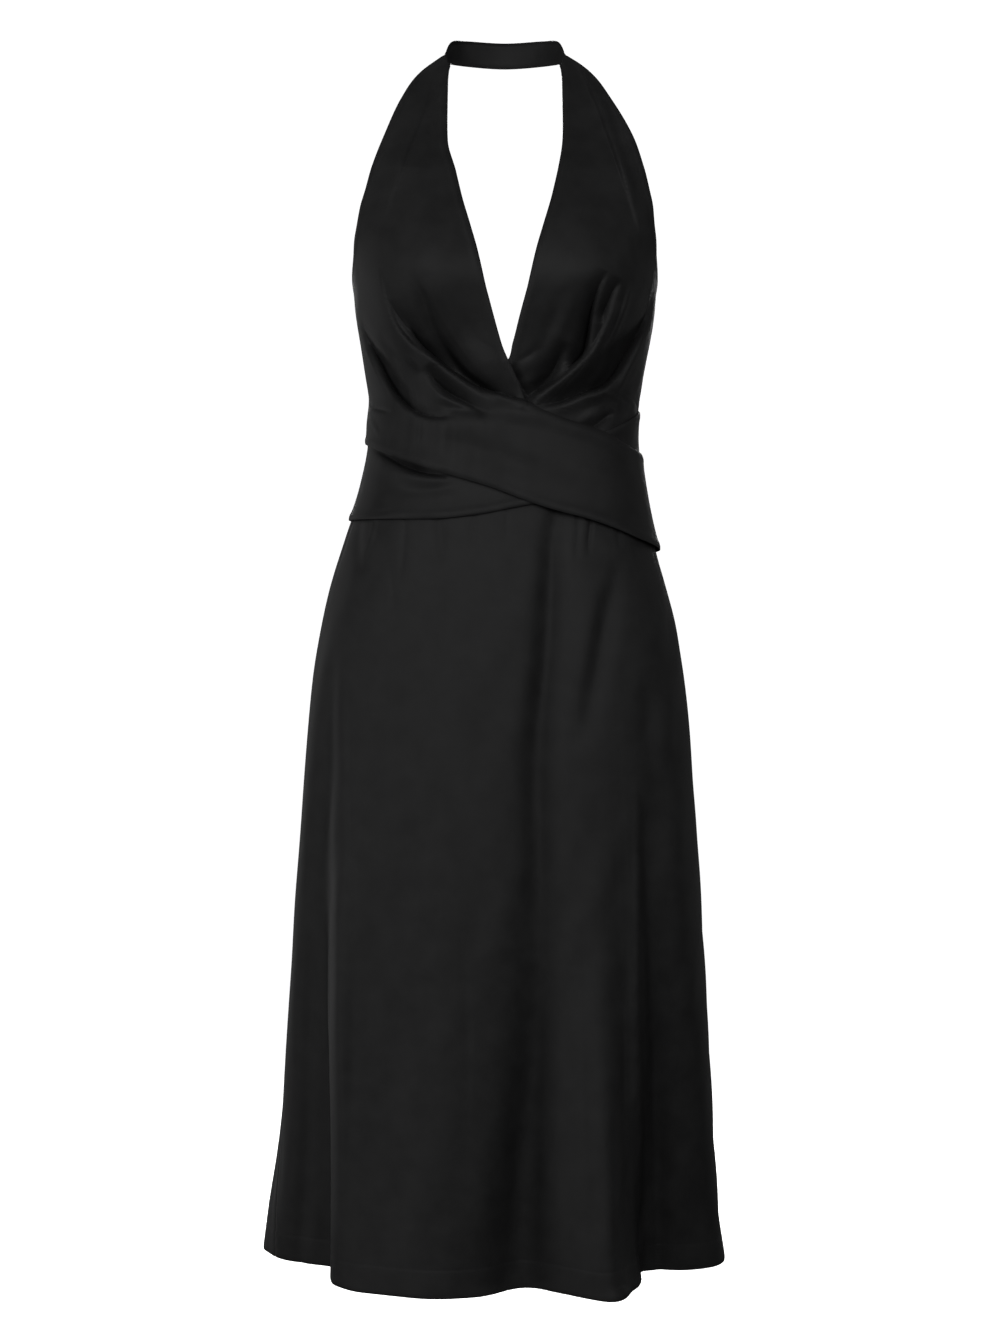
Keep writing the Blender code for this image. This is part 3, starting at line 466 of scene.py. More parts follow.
def seen(grid: Grid) -> tuple[Grid, Grid]:
    """Places across and drops at which the camera sees points on the view plane.

    A point's offset from the camera is scaled by the plane's distance over its own.
    """
    scale = (VIEW_PLANE_Y - CAMERA[1]) / (grid[..., 1] - CAMERA[1])
    return CAMERA[0] + (grid[..., 0] - CAMERA[0]) * scale, -CAMERA[2] - (grid[..., 2] - CAMERA[2]) * scale


def fold_way(normal: Grid) -> Grid:
    """The way in which folds stand out: the normal turned level and towards the front."""
    return unit(normal * np.array(FOLD_TURN))


def crease_rise(grid: Grid, creases: tuple[Crease, ...], samples: int = 90) -> Grid:
    """Sum of the creases at a grid's points.

    Each adds its rise, read along its path, times a bell of the distance from the path over the
    width on that side of it, which grows along it by its spread. Above, the bell's power is its
    pinch, so that a pinched valley is sharp at its bottom.

    Args:
        grid: points of the cloth.
        creases: its folds.
        samples: points taken along each path.

    Returns:
        How far the cloth stands out there, in metres.
    """
    total = np.zeros(grid.shape[:2])
    across, down = seen(grid)
    for crease in creases:
        path = np.array(crease.path, float)
        place = run_length(path, 0)
        at = np.linspace(0.0, place[-1], samples)
        path_x, path_drop = (through(place, path[:, k], at) * MM for k in (0, 1))
        rise = through(np.linspace(0.0, place[-1], len(crease.rise)), np.array(crease.rise), at)
        near, side, nearest = beside(across, down, path_x, path_drop)
        grown = 1.0 + (crease.spread - 1.0) * nearest / samples
        width = np.where(side > 0, crease.below, crease.above) * grown
        total += rise[nearest] * np.exp(-(near / (width * MM)) ** np.where(side > 0, 2.0, crease.pinch))
    return total * MM


def waves(u: Grid, v: Grid, seed: int, long: tuple[float, float], count: int = 14) -> Grid:
    """Small waves of the cloth: a mean of sines that run mostly across the grain.

    Args:
        u: distance across the cloth.
        v: distance down the cloth.
        seed: chooses the waves.
        long: the shortest and longest wave across; down the cloth they are four times as long.
        count: how many sines are added.

    Returns:
        Heights from about -1 to 1.
    """
    rng = np.random.default_rng(seed)
    across = 2 * np.pi / rng.uniform(*long, count)
    down = 2 * np.pi / rng.uniform(*long, count) / 4.0 * rng.choice([-1.0, 1.0], count)
    phase = rng.uniform(0, 2 * np.pi, count)
    return sum(np.sin(a * u + d * v + p) for a, d, p in zip(across, down, phase)) / np.sqrt(count)


@dataclass(frozen=True)
class Figure:
    """The general figure that the dress is worn on."""

    squareness: float = 0.10
    cup_out: float = 0.020
    cup_x: float = 0.078
    cup_drop: float = 0.232
    cup_width: float = 0.046
    cup_rise: float = 0.062
    cup_fall: float = 0.052
    cup_side_fade: float = 3.0
    step: float = 0.5

    def points(self, angle: Grid, drop: Grid) -> Grid:
        """Points on the figure.

        A level section is a pair of half ellipses, x = half sin a (1 + q cos^2 a) and
        y = -depth cos a (1 + q sin^2 a), with bells for the cups added in front.

        Args:
            angle: degrees round the figure; 0 is the centre front and +90 the wearer's left.
            drop: metres below the nape.

        Returns:
            Points with the shape of the arguments together, and 3.
        """
        angle, drop = np.broadcast_arrays(np.radians(angle), np.asarray(drop, float))
        half, front, back, shift = (through(FIGURE_ROWS[:, 0], FIGURE_ROWS[:, k], drop) for k in range(1, 5))
        facing = np.cos(angle)
        x = half * np.sin(angle) * (1 + self.squareness * facing ** 2)
        y = -np.where(facing > 0, front, back) * facing * (1 + self.squareness * np.sin(angle) ** 2)
        tall = np.where(drop < self.cup_drop, self.cup_rise, self.cup_fall)
        cup = bell((np.abs(x) - self.cup_x) / self.cup_width) * bell((drop - self.cup_drop) / tall)
        y = y - self.cup_out * cup * np.clip(self.cup_side_fade * facing, 0.0, 1.0)
        return np.stack([x + shift, y + SIDE_PLANE_Y, -drop], -1)

    def round_step(self, angle: Grid, drop: Grid) -> Grid:
        """Steps round the figure, from half a degree before each place to half a degree after it."""
        before, after = (self.points(np.asarray(angle) + side * self.step, drop) for side in (-1, 1))
        return after - before

    def outward(self, angle: Grid, drop: Grid) -> Grid:
        """Unit normals: the cross product of steps down and round the figure."""
        above, below = (self.points(angle, np.asarray(drop) + MM * side * self.step) for side in (-1, 1))
        return unit(np.cross(below - above, self.round_step(angle, drop)))

    def raised(self, angle: Grid, drop: Grid, height: Grid) -> Grid:
        """Points that stand off the figure by a height."""
        base = self.points(angle, drop)
        return base + self.outward(angle, drop) * np.broadcast_to(height, base.shape[:-1])[..., None]

    def half_width(self, drop: Grid) -> Grid:
        """Half width of the figure's section at a drop."""
        return through(FIGURE_ROWS[:, 0], FIGURE_ROWS[:, 1], drop)

    def seam_trim(self, drop: Grid) -> Grid:
        """Half of the gap at a vertical seam, in degrees round the figure; below zero the cloth meets."""
        return np.degrees(0.5 * SEAM_GAP / self.half_width(drop))

    def free_of_seam(self, grid: Grid) -> Grid:
        """0 at the side seams, where all layers are caught together, and 1 away from them."""
        return soft_step((self.points(SIDE_SEAM, -grid[..., 2])[..., 1] - grid[..., 1]) / SEAM_EASE)


class Sewn(Enum):
    """How an edge of a cloth piece is finished."""

    TURNED = "turned under and pressed, a soft roll with the seam just inside it"
    SEAMED = "sewn to its neighbour, drawn in at the seam"


@dataclass(frozen=True)
class SewnEdge:
    """The relief that a finished edge gives to the cloth beside it."""

    kind: Sewn
    lift: float = 0.0
    inset: float = 0.0045
    roll: float = 0.00035
    width: float = 0.0022
    tuck: float = 0.0006
    turned_width: float = 0.0012
    seamed_width: float = 0.0016
    ripple: float = 0.00012
    ripple_reach: float = 0.006
    pucker: float = 0.011

    def relief(self, away: Grid, run: Grid) -> Grid:
        """Height of the relief.

        A turned edge rises as a bell `inset` from the edge and tucks in at it. A seamed edge sinks
        at the seam, and small puckers, a sine along it, fade away from it.

        Args:
            away: distance from the edge.
            run: distance along the edge.

        Returns:
            Heights in metres.
        """
        if self.kind is Sewn.TURNED:
            roll = self.roll * bell((away - self.inset) / self.width)
            return roll - self.tuck * bell(away / self.turned_width)
        ripples = self.ripple * np.sin(2 * np.pi * run / self.pucker) * bell(away / self.ripple_reach)
        return ripples - self.tuck * bell(away / self.seamed_width)


TURNED, SEAMED = SewnEdge(Sewn.TURNED), SewnEdge(Sewn.SEAMED)
Edges = list[tuple[SewnEdge, Grid]]


class Finish:
    """A node material in the making."""

    def __init__(self, name: str) -> None:
        """Start a material with the usual shader.

        Args:
            name: its name.
        """
        self.made = bpy.data.materials.new(name)
        self.made.use_nodes = True
        self.shader = self.made.node_tree.nodes["Principled BSDF"]

    def put(self, node: bpy.types.Node, inputs: dict[str, object]) -> None:
        """Give inputs of a node their numbers and colours, or link them to sockets.

        Args:
            node: the node.
            inputs: a number, colour or socket for each input that is set.
        """
        for name, value in inputs.items():
            if isinstance(value, bpy.types.NodeSocket):
                self.made.node_tree.links.new(value, node.inputs[name])
            else:
                node.inputs[name].default_value = value

    def node(self, kind: str, output: str, inputs: dict[str, object] | None = None,
             **settings: str) -> bpy.types.NodeSocket:
        """Add a node.

        Args:
            kind: its type, without the prefix that all types share.
            output: the output that is wanted of it.
            inputs: a number, colour or socket for each input that is set.
            settings: its other settings.

        Returns:
            The socket of that output.
        """
        made = self.made.node_tree.nodes.new("ShaderNode" + kind)
        for name, value in settings.items():
            setattr(made, name, value)
        self.put(made, inputs or {})
        return made.outputs[output]

    def noise(self, place: bpy.types.NodeSocket, scale: float, detail: float) -> bpy.types.NodeSocket:
        """Cloudy noise at a place."""
        return self.node("TexNoise", "Fac", {"Vector": place, "Scale": scale, "Detail": detail})

    def tint(self, share: bpy.types.NodeSocket,
             *stops: tuple[float, tuple[float, ...]]) -> bpy.types.NodeSocket:
        """A colour between two.

        Args:
            share: chooses between them.
            stops: the share at which each is reached, and the colour.

        Returns:
            The socket of the colour.
        """
        colour = self.node("ValToRGB", "Color", {"Fac": share})
        for element, (place, value) in zip(colour.node.color_ramp.elements, stops):
            element.position, element.color = place, (*value, 1.0)
        return colour

    def between(self, share: bpy.types.NodeSocket, low: float, high: float) -> bpy.types.NodeSocket:
        """A number between two."""
        return self.node("MapRange", "Result", {"Value": share, "To Min": low, "To Max": high})

    def bump(self, height: bpy.types.NodeSocket, distance: float, strength: float,
             under: bpy.types.NodeSocket | None = None) -> bpy.types.NodeSocket:
        """Normals of a pattern as relief.

        Args:
            height: the pattern.
            distance: its depth in metres.
            strength: its share.
            under: normals that it adds to.

        Returns:
            The socket of the new normals.
        """
        inputs = {"Height": height, "Distance": distance, "Strength": strength}
        return self.node("Bump", "Normal", inputs if under is None else {**inputs, "Normal": under})

    def done(self, inputs: dict[str, object]) -> bpy.types.Material:
        """Set the shader's inputs and hand over the material."""
        self.put(self.shader, inputs)
        return self.made


@dataclass(frozen=True)
class Satin:
    """Black satin: fine warp threads, highlights drawn out across them, faint streaks along the weft."""

    name: str = "black_satin"
    dark: tuple[float, float, float] = (0.0062, 0.0062, 0.0063)
    light: tuple[float, float, float] = (0.0085, 0.0085, 0.0086)
    roughness: tuple[float, float] = (0.52, 0.61)
    specular: float = 0.07
    drawn_out: float = 0.65
    thread: float = 0.0006
    cloud: float = 55.0
    streak: tuple[float, float, float] = (25.0, 700.0, 1.0)

    def material(self) -> bpy.types.Material:
        """Build the finish.

        Returns:
            A material whose colour and roughness vary with cloudy noise, and whose bump adds
            threads on the piece's own UV map, in metres, and a grain.
        """
        made = Finish(self.name)
        cloud = made.noise(made.node("TexCoord", "Object"), self.cloud, 4.0)
        uv = made.node("UVMap", "UV", uv_map="cloth")
        rows = {"Vector": uv, "Scale": WAVE_PERIOD / self.thread, "Distortion": 1.5, "Detail": 1.0}
        threads = made.node("TexWave", "Fac", rows, wave_profile="SIN")
        grain = made.noise(made.node("Mapping", "Vector", {"Vector": uv, "Scale": self.streak}), 1.0, 3.0)
        return made.done({
            "Specular IOR Level": self.specular, "Anisotropic": self.drawn_out,
            "Tangent": made.node("Tangent", "Tangent", direction_type="UV_MAP", uv_map="cloth"),
            "Base Color": made.tint(cloud, (0.3, self.dark), (0.7, self.light)),
            "Roughness": made.between(cloud, *self.roughness),
            "Normal": made.bump(grain, 0.00005, 0.30, made.bump(threads, 0.000012, 0.35))})


@dataclass(frozen=True)
class ZipTapeCloth:
    """Matt woven polyester tape with a fine rib across it."""

    name: str = "zip_tape_cloth"
    dark: tuple[float, float, float] = (0.0060, 0.0060, 0.0066)
    light: tuple[float, float, float] = (0.010, 0.010, 0.011)
    rib: float = 0.0008

    def material(self) -> bpy.types.Material:
        """Build the finish.

        Returns:
            A material whose bump is the rib, a sine down the tape, and whose dark colour follows it: painted
            lighter on the rib tops and darker in the hollows, a painted shade.
        """
        made = Finish(self.name)
        uv = made.node("UVMap", "UV", uv_map="cloth")
        rows = {"Vector": uv, "Scale": WAVE_PERIOD / self.rib, "Distortion": 0.6}
        rib_relief_and_shade = made.node("TexWave", "Fac", rows, bands_direction="Y")
        return made.done({
            "Roughness": 0.85, "Sheen Weight": 0.15,
            # Painted shade: the colour follows the rib relief, lighter on the rib tops and darker in the
            # hollows between them.
            "Base Color": made.tint(rib_relief_and_shade, (0.0, self.dark), (1.0, self.light)),
            "Normal": made.bump(rib_relief_and_shade, 0.00008, 0.6)})


@dataclass(frozen=True)
class ZipEnamel:
    """Black enamelled metal of the zip's slider and pull, worn a little in fine patches."""

    name: str = "zip_enamel"
    colour: tuple[float, float, float] = (0.012, 0.012, 0.013)
    worn: tuple[float, float, float] = (0.06, 0.06, 0.062)
    wear: float = 900.0

    def material(self) -> bpy.types.Material:
        """Build the finish.

        Returns:
            A material in which fine noise mixes the enamel with its worn colour and roughness.
        """
        made = Finish(self.name)
        wear = made.noise(made.node("TexCoord", "Object"), self.wear, 5.0)
        return made.done({
            "Metallic": 0.5, "Base Color": made.tint(wear, (0.55, self.colour), (0.8, self.worn)),
            "Roughness": made.between(wear, 0.22, 0.5), "Normal": made.bump(wear, 0.00002, 0.3)})


def grid_faces(rows: int, columns: int, closed: bool = False) -> Grid:
    """Quads of a grid of points, facing out where rows run down and columns to the left.

    Args:
        rows: rows of points.
        columns: points in a row.
        closed: whether the last column joins the first.

    Returns:
        One row of four point numbers for each face.
    """
    number = np.arange(rows * columns).reshape(rows, columns)
    if closed:
        number = np.concatenate([number, number[:, :1]], axis=1)
    corners = (number[:-1, :-1], number[1:, :-1], number[1:, 1:], number[:-1, 1:])
    return np.stack([corner.ravel() for corner in corners], -1)


def new_mesh(name: str, points: Grid, faces: Grid, uv: Grid | None = None) -> bpy.types.Mesh:
    """Put points and quads into a mesh, after welding the points that coincide.

    Args:
        name: the mesh's name.
        points: one row for each point.
        faces: one row of point numbers for each quad.
        uv: a place on the cloth, in metres, for each point.

    Returns:
        A smooth mesh, with the UV map "cloth" if there is one.
    """
    _, first, number = np.unique(np.round(points / WELD).astype(np.int64), axis=0, return_index=True,
                                 return_inverse=True)
    welded = number.reshape(-1)[faces]
    mesh = bpy.data.meshes.new(name)
    mesh.vertices.add(len(first))
    mesh.vertices.foreach_set("co", points[first].astype(np.float32).ravel())
    mesh.loops.add(welded.size)
    mesh.loops.foreach_set("vertex_index", welded.astype(np.int32).ravel())
    mesh.polygons.add(len(welded))
    mesh.polygons.foreach_set("loop_start", np.arange(0, welded.size, 4, dtype=np.int32))
    if uv is not None:
        layer = mesh.uv_layers.new(name="cloth")
        layer.data.foreach_set("uv", uv[faces.ravel()].astype(np.float32).ravel())
    mesh.update(calc_edges=True)
    mesh.validate()
    mesh.shade_smooth()
    return mesh


def new_piece(name: str, mesh: bpy.types.Mesh, finish: bpy.types.Material, body: str) -> bpy.types.Object:
    """Link a mesh as a piece that rides on a body.

    Args:
        name: the piece's name.
        mesh: its mesh, in the frame.
        finish: its material.
        body: the CAD body that it moves with.

    Returns:
        The piece.
    """
    piece = bpy.data.objects.new(name, mesh)
    bpy.context.scene.collection.objects.link(piece)
    mesh.materials.append(finish)
    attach(piece, body)
    LOG.info("%s: %d faces", name, len(mesh.polygons))
    return piece


@dataclass
class ClothPiece:
    """A sheet of cloth that stands for a CAD node."""

    name: str
    node: str
    flat: tuple[float, float]
    area: float
    held: str
    rests_on: tuple[str, ...] = ()
    wall: float = WALL
    slot: str = "satin"
    edge_share: float = 0.3
    edge_angle: float = 60.0

    def make(self, grids: list[Grid], finish: bpy.types.Material, middle: bool = False) -> None:
        """Args:
            grids: one grid of points, or two of which the second starts with the first's last row.
            finish: its material.
            middle: whether the threads are counted from the middle column and not the first.
        """
        points, faces, uv, count, down = [], [], [], 0, 0.0
        for grid in grids:
            rows, columns = grid.shape[:2]
            across = run_length(grid, 1)
            across = across - across[:, [columns // 2 if middle else 0]]
            begin = np.full(columns, np.ravel(down)[-1])
            begin[:np.size(down)] = down
            run = run_length(grid, 0) + begin
            down = run[-1]
            points.append(grid.reshape(-1, 3))
            uv.append(np.stack([across, run], -1).reshape(-1, 2))
            faces.append(grid_faces(rows, columns) + count)
            count += rows * columns
        mesh = new_mesh(self.name, np.concatenate(points), np.concatenate(faces), np.concatenate(uv))
        piece = new_piece(self.name, mesh, finish, "dress")
        thicken = piece.modifiers.new("wall", "SOLIDIFY")
        thicken.thickness, thicken.offset = self.wall, 1.0
        soften = piece.modifiers.new("soft_edge", "BEVEL")
        soften.width, soften.segments = self.edge_share * self.wall, 2
        soften.limit_method, soften.angle_limit = "ANGLE", np.radians(self.edge_angle)
        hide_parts(self.node)


def dressed(grid: Grid, edges: Edges, seed: int, wave: float) -> Grid:
    """Move a grid out by its sewn edges and small waves, and stand its free edges off by their lift.

    Args:
        grid: points of the cloth.
        edges: each edge's finish and a line of points along it.
        seed: chooses the waves.
        wave: their height in metres; they fade towards an edge.

    Returns:
        The moved points.
    """
    u, v = run_length(grid, 1), run_length(grid, 0)
    relief, lift = np.zeros(grid.shape[:2]), np.zeros(grid.shape[:2])
    nearest, seam = np.full(grid.shape[:2], 1.0), np.full(grid.shape[:2], 1.0)
    for edge, line in edges:
        away = reach_to(grid, line)
        relief += edge.relief(away, u + v)
        lift += edge.lift * bell(away / LIFT_REACH)
        nearest = np.minimum(nearest, away)
        if edge.kind is Sewn.SEAMED:
            seam = np.minimum(seam, away)
    relief += wave * waves(u, v, seed, WAVE_LENGTHS) * soft_step(nearest / WAVE_FADE)
    relief += lift * soft_step(seam / LIFT_FADE)
    return grid + outward_of(grid) * relief[..., None]


def panel_edges(grid: Grid, top: SewnEdge, bottom: SewnEdge) -> Edges:
    """The finishes of a panel's top, its bottom and its two seamed sides."""
    return [(top, grid[0]), (bottom, grid[-1]), (SEAMED, grid[:, 0]), (SEAMED, grid[:, -1])]


@dataclass
class NeckStrap:
    """The strap round the nape, a doubled band between the two shoulder seams."""

    figure: Figure
    cells: tuple[int, int] = (16, 220)
    crown: float = 0.0005
    inset: float = 0.0035
    seed: int = 3
    wave: float = 0.00012
    piece: ClothPiece = field(default_factory=lambda: ClothPiece(
        "neck_strap_cloth", "neck_strap", (0.026, 0.250), 0.0055, "hung"))

    def grid(self) -> Grid:
        """Rungs between two smooth lines, read at even places.

        Returns:
            The strap's inner face, whose low crown is the parabola 4s(1 - s) across it.
        """
        across, down = self.cells
        low, up = rung_points(NECK_RUNGS, 1.0)
        mirror = np.array([-1.0, 1.0, 1.0])
        low, up = (even_line(np.concatenate([line[:0:-1], line * mirror]), down) for line in (low, up))
        for line in (low, up):
            for end, neighbour in ((0, 1), (-1, -2)):
                line[end] += unit(line[neighbour] - line[end]) * SEAM_GAP
        s = np.linspace(0.0, 1.0, across + 1)[:, None, None]
        grid = up + (low - up) * s
        return grid + outward_of(grid) * self.crown * 4.0 * s * (1.0 - s)

    def build(self, finish: bpy.types.Material) -> None:
        """Build and dress the strap."""
        grid, edge = self.grid(), SewnEdge(Sewn.TURNED, inset=self.inset)
        self.piece.make([dressed(grid, panel_edges(grid, edge, edge), self.seed, self.wave)], finish)


def rung_points(rungs: Grid, side: float) -> tuple[Grid, Grid]:
    """Ends of rungs on one side of the body, in the frame.

    Args:
        rungs: their lower and upper ends on the wearer's left, in millimetres.
        side: 1 for the wearer's left and -1 for the right.

    Returns:
        The lower and the upper ends, in metres.
    """
    scale = np.array([side, 1.0, -1.0]) * MM
    shift = np.array([0.0, SIDE_PLANE_Y, 0.0])
    return rungs[:, :3] * scale + shift, rungs[:, 3:] * scale + shift


def even_line(points: Grid, count: int) -> Grid:
    """A smooth line through points, read at even places by its own length.

    Args:
        points: the points that it passes through.
        count: the number of its parts.

    Returns:
        Its points, one more than its parts.
    """
    place = run_length(points, 0)
    at = np.linspace(0.0, place[-1], count + 1)
    return np.stack([through(place, points[:, k], at) for k in range(3)], -1)


@dataclass
class Bodice:
    """The two fronts: the left one crosses under, the right one crosses over as the wrap band.

    `guide_rows` are the rows of the two CAD solids, and `turn_from` is the share of the shoulder's
    rows from which the cloth's normals turn into the figure's.
    """

    figure: Figure
    front_cells: tuple[int, int] = (150, 230)
    cup_cells: tuple[int, int] = (156, 196)
    band_cells: tuple[int, int] = (76, 34)
    shoulder_rows: int = 40
    guide_rows: tuple[int, int] = (22, 20)
    turn_from: float = 0.9
    edge_samples: int = 12
    band_samples: int = 90
    lift: float = 0.0012
    seeds: tuple[int, int] = (11, 12)
    waves: tuple[float, float] = (0.00022, 0.0)
    left: ClothPiece = field(default_factory=lambda: ClothPiece(
        "front_left_cloth", "front_left", (0.30, 0.44), 0.062, "stretched", ("neck_strap_cloth",)))
    wrap: ClothPiece = field(default_factory=lambda: ClothPiece(
        "front_right_wrap_cloth", "front_right_wrap", (0.36, 0.47), 0.078, "stretched",
        ("neck_strap_cloth", "front_left_cloth", "waist_band_cloth")))

    def laid_rows(self, rows: Grid, cells: tuple[int, int]) -> tuple[Grid, Grid]:
        """Lay a grid between the two edges of a front.

        The rows are spaced by the longer edge's length, and each row is straight in angle and drop.

        Args:
            rows: the table of the front's edges.
            cells: cells across and down.

        Returns:
            Angles and drops, top row first, columns to the wearer's left.
        """
        across, down = cells
        chords = [np.linalg.norm(np.diff(self.figure.points(rows[:, k], rows[:, k + 1]), axis=0), axis=-1)
                  for k in (0, 2)]
        place = np.concatenate([[0.0], np.cumsum(np.maximum(*chords))])
        at = np.linspace(0.0, place[-1], down + 1)
        in_angle, in_drop, out_angle, out_drop = (through(place, rows[:, k], at)[:, None] for k in range(4))
        s = np.linspace(0.0, 1.0, across + 1)
        angle = in_angle + (out_angle - in_angle) * s
        drop = in_drop + (out_drop - in_drop) * s
        if out_angle[0] < in_angle[0]:
            return angle[:, ::-1], drop[:, ::-1]
        return angle, drop

    def shoulder(self, side: float, below: Grid, coarse: Grid) -> Grid:
        """The top of a front, from its shoulder seam to the rows laid on the figure.

        Every column is a smooth line through the rungs and the first rows below them.

        Args:
            side: 1 for the wearer's left.
            below: the laid rows, whose columns it shares.
            coarse: the two laid rows that the lines pass through.

        Returns:
            The shoulder's rows, without the first laid row.
        """
        low, up = rung_points(SHOULDER_RUNGS, side)
        if side > 0:
            up[:, 0] += LEFT_SHOULDER_OUT * MM
        first, last = (low, up) if side > 0 else (up, low)
        s = np.linspace(0.0, 1.0, below.shape[1])[:, None]
        keys = np.concatenate([first[:, None] + (last - first)[:, None] * s, coarse])
        span = np.linalg.norm(np.diff(keys.mean(axis=1), axis=0), axis=-1)
        place = np.concatenate([[0.0], np.cumsum(span)])
        at = np.linspace(0.0, place[len(first)], self.shoulder_rows + 1)[:-1]
        return through(place, keys.reshape(len(keys), -1), at).reshape(len(at), -1, 3)

    def panel(self, side: float, rows: Grid, cells: tuple[int, int], coarse_down: int,
              height: Callable[[Grid], Grid], layers: Callable[[Grid], Grid]) -> tuple[Grid, Grid, Grid]:
        """Inner face of a front, moved out by its layers and, level, by its folds.

        Args:
            side: 1 for the wearer's left.
            rows: the table of its edges.
            cells: cells across and down on the figure.
            coarse_down: rows of the CAD solid, whose second row guides the shoulder.
            height: gives the height at each point, layers and folds together.
            layers: gives the share of it that the layers below take.

        Returns:
            The points, and the angles and drops of the part on the figure.
        """
        angle, drop = self.laid_rows(rows, cells)
        laid = self.figure.points(angle, drop)
        guide = self.figure.points(*self.laid_rows(rows, (cells[0], coarse_down)))[:2]
        shoulder = self.shoulder(side, laid, guide)
        whole = np.concatenate([shoulder, laid])
        normal = outward_of(whole)
        share = soft_step(np.arange(len(whole)) / len(shoulder) - self.turn_from)[:, None, None]
        on_figure = np.concatenate([normal[:len(shoulder)], self.figure.outward(angle, drop)])
        normal = unit(normal * (1.0 - share) + on_figure * share)
        return self.moved(whole, normal, height, layers), angle, drop

    @staticmethod
    def moved(base: Grid, normal: Grid, height: Callable[[Grid], Grid],
              layers: Callable[[Grid], Grid]) -> Grid:
        """Points moved along their normals by the layers and along the fold way by the rest.

        The rest fades where the cloth turns away to the side.

        Args:
            base: the points.
            normal: their unit normals.
            height: gives the height at each point, layers and folds together.
            layers: gives the share of it that the layers below take.

        Returns:
            The moved points.
        """
        under = layers(base)
        fold = (height(base) - under) * soft_step(-FOLD_FADE * normal[..., 1])
        return base + normal * under[..., None] + fold_way(normal) * fold[..., None]

    def past_edge(self, grid: Grid, rows: Grid, band: Grid | None = None) -> Grid:
        """Distance of points past a front's free edge in the front view.

        Args:
            grid: the points.
            rows: the table of the front's edges.
            band: the table of a band whose top edge carries the free edge on to the left side seam.

        Returns:
            The distance to the nearest point of the edge, positive below it.
        """
        fine = np.linspace(0.0, len(rows) - 1.0, self.edge_samples * len(rows))
        places = np.arange(len(rows), dtype=float)
        angle, drop = (through(places, rows[:, k], fine) for k in (0, 1))
        if band is not None:
            right = np.linspace(angle[-1], SIDE_SEAM, self.band_samples)[1:]
            angle = np.concatenate([angle, right])
            drop = np.concatenate([drop, through(band[:, 0], band[:, 1], right)])
        path = self.figure.points(angle, drop)
        near, side, _ = beside(grid[..., 0], -grid[..., 2], path[:, 0], -path[:, 2])
        return np.where(side > 0, near, -near)

    def band_top(self, grid: Grid) -> Grid:
        """Drop of the waist band's top edge in front of points.

        Args:
            grid: the points.

        Returns:
            The drop at the angle whose sine is a point's place across over the waist's half width.
        """
        waist = self.figure.half_width(BAND_ROWS[0, 1])
        angle = np.degrees(np.arcsin(np.clip(grid[..., 0] / waist, -1.0, 1.0)))
        return through(BAND_ROWS[:, 0], BAND_ROWS[:, 1], angle)

    def climbed(self, grid: Grid) -> tuple[Grid, Grid]:
        """How far points have passed on to the left front and on to the waist band, with their leads."""
        return FRONT_LEAD - self.past_edge(grid, FRONT_ROWS), BAND_LEAD - self.band_top(grid) - grid[..., 2]

    def wrap_layers(self, grid: Grid) -> Grid:
        """Height of the wrap without folds: it climbs softly on to the left front and the band."""
        on_front, on_band = (soft_step(1.0 + past / BRIDGE_EASE) for past in self.climbed(grid))
        return self.figure.free_of_seam(grid) * np.maximum(on_front, 2.0 * on_band) * LAYER

    def wrap_height(self, grid: Grid) -> Grid:
        """Height of the wrap: its folds, and no less than what lies under it.

        Args:
            grid: points on the figure.

        Returns:
            The larger of two heights: the layers and folds together, and one layer over the left
            front and two over the band, less the depth that a fold may have where there is no band.
        """
        over_front, over_band = (soft_step(1.0 + past / EDGE_EASE) for past in self.climbed(grid))
        free = self.figure.free_of_seam(grid)
        least = np.maximum(over_front, 2.0 * over_band) * LAYER * free
        lowest = least - FOLD_SINK * (1.0 - soft_step(2.0 * over_band))
        return np.maximum(lowest, self.wrap_layers(grid) + free * crease_rise(grid, WRAP_CREASES))

    def front_height(self, grid: Grid) -> Grid:
        """Height of the left front: its folds, kept a layer clear of the wrap and under the band.

        Args:
            grid: points on the figure.

        Returns:
            Its own folds and the band's hollows together, at most the wrap's height less a layer
            where the wrap hides the front. What stands out fades before the band.
        """
        rise = np.maximum(crease_rise(grid, FRONT_CREASES), -FOLD_SINK)
        rise = rise + np.minimum(crease_rise(grid, BAND_CREASES), 0.0)
        hidden = np.clip(1.0 + self.past_edge(grid, CUP_ROWS, WRAP_BAND_ROWS) / EDGE_EASE, 0.0, 1.0)
        rise = rise + hidden * np.minimum(0.0, self.wrap_height(grid) - LAYER - rise)
        free = np.clip((self.band_top(grid) + grid[..., 2] - BLOUSE_EASE) / BLOUSE_EASE, 0.0, 1.0)
        return np.where(rise > 0, rise * free, rise)

    def build_left(self, finish: bpy.types.Material) -> None:
        """Build and dress the wearer's left front.

        Args:
            finish: its material.
        """
        grid, angle, _ = self.panel(1.0, FRONT_ROWS, self.front_cells, self.guide_rows[0], self.front_height,
                                    lambda base: np.zeros(base.shape[:-1]))
        under = self.shoulder_rows + int(np.argmax(angle[:, -1] > SIDE_SEAM - ANGLE_SLACK))
        edges = [(TURNED, grid[:, 0]), (TURNED, grid[:under, -1]), (SEAMED, grid[under:, -1]),
                 (SEAMED, grid[0])]
        self.left.make([dressed(grid, edges, self.seeds[0], self.waves[0])], finish)

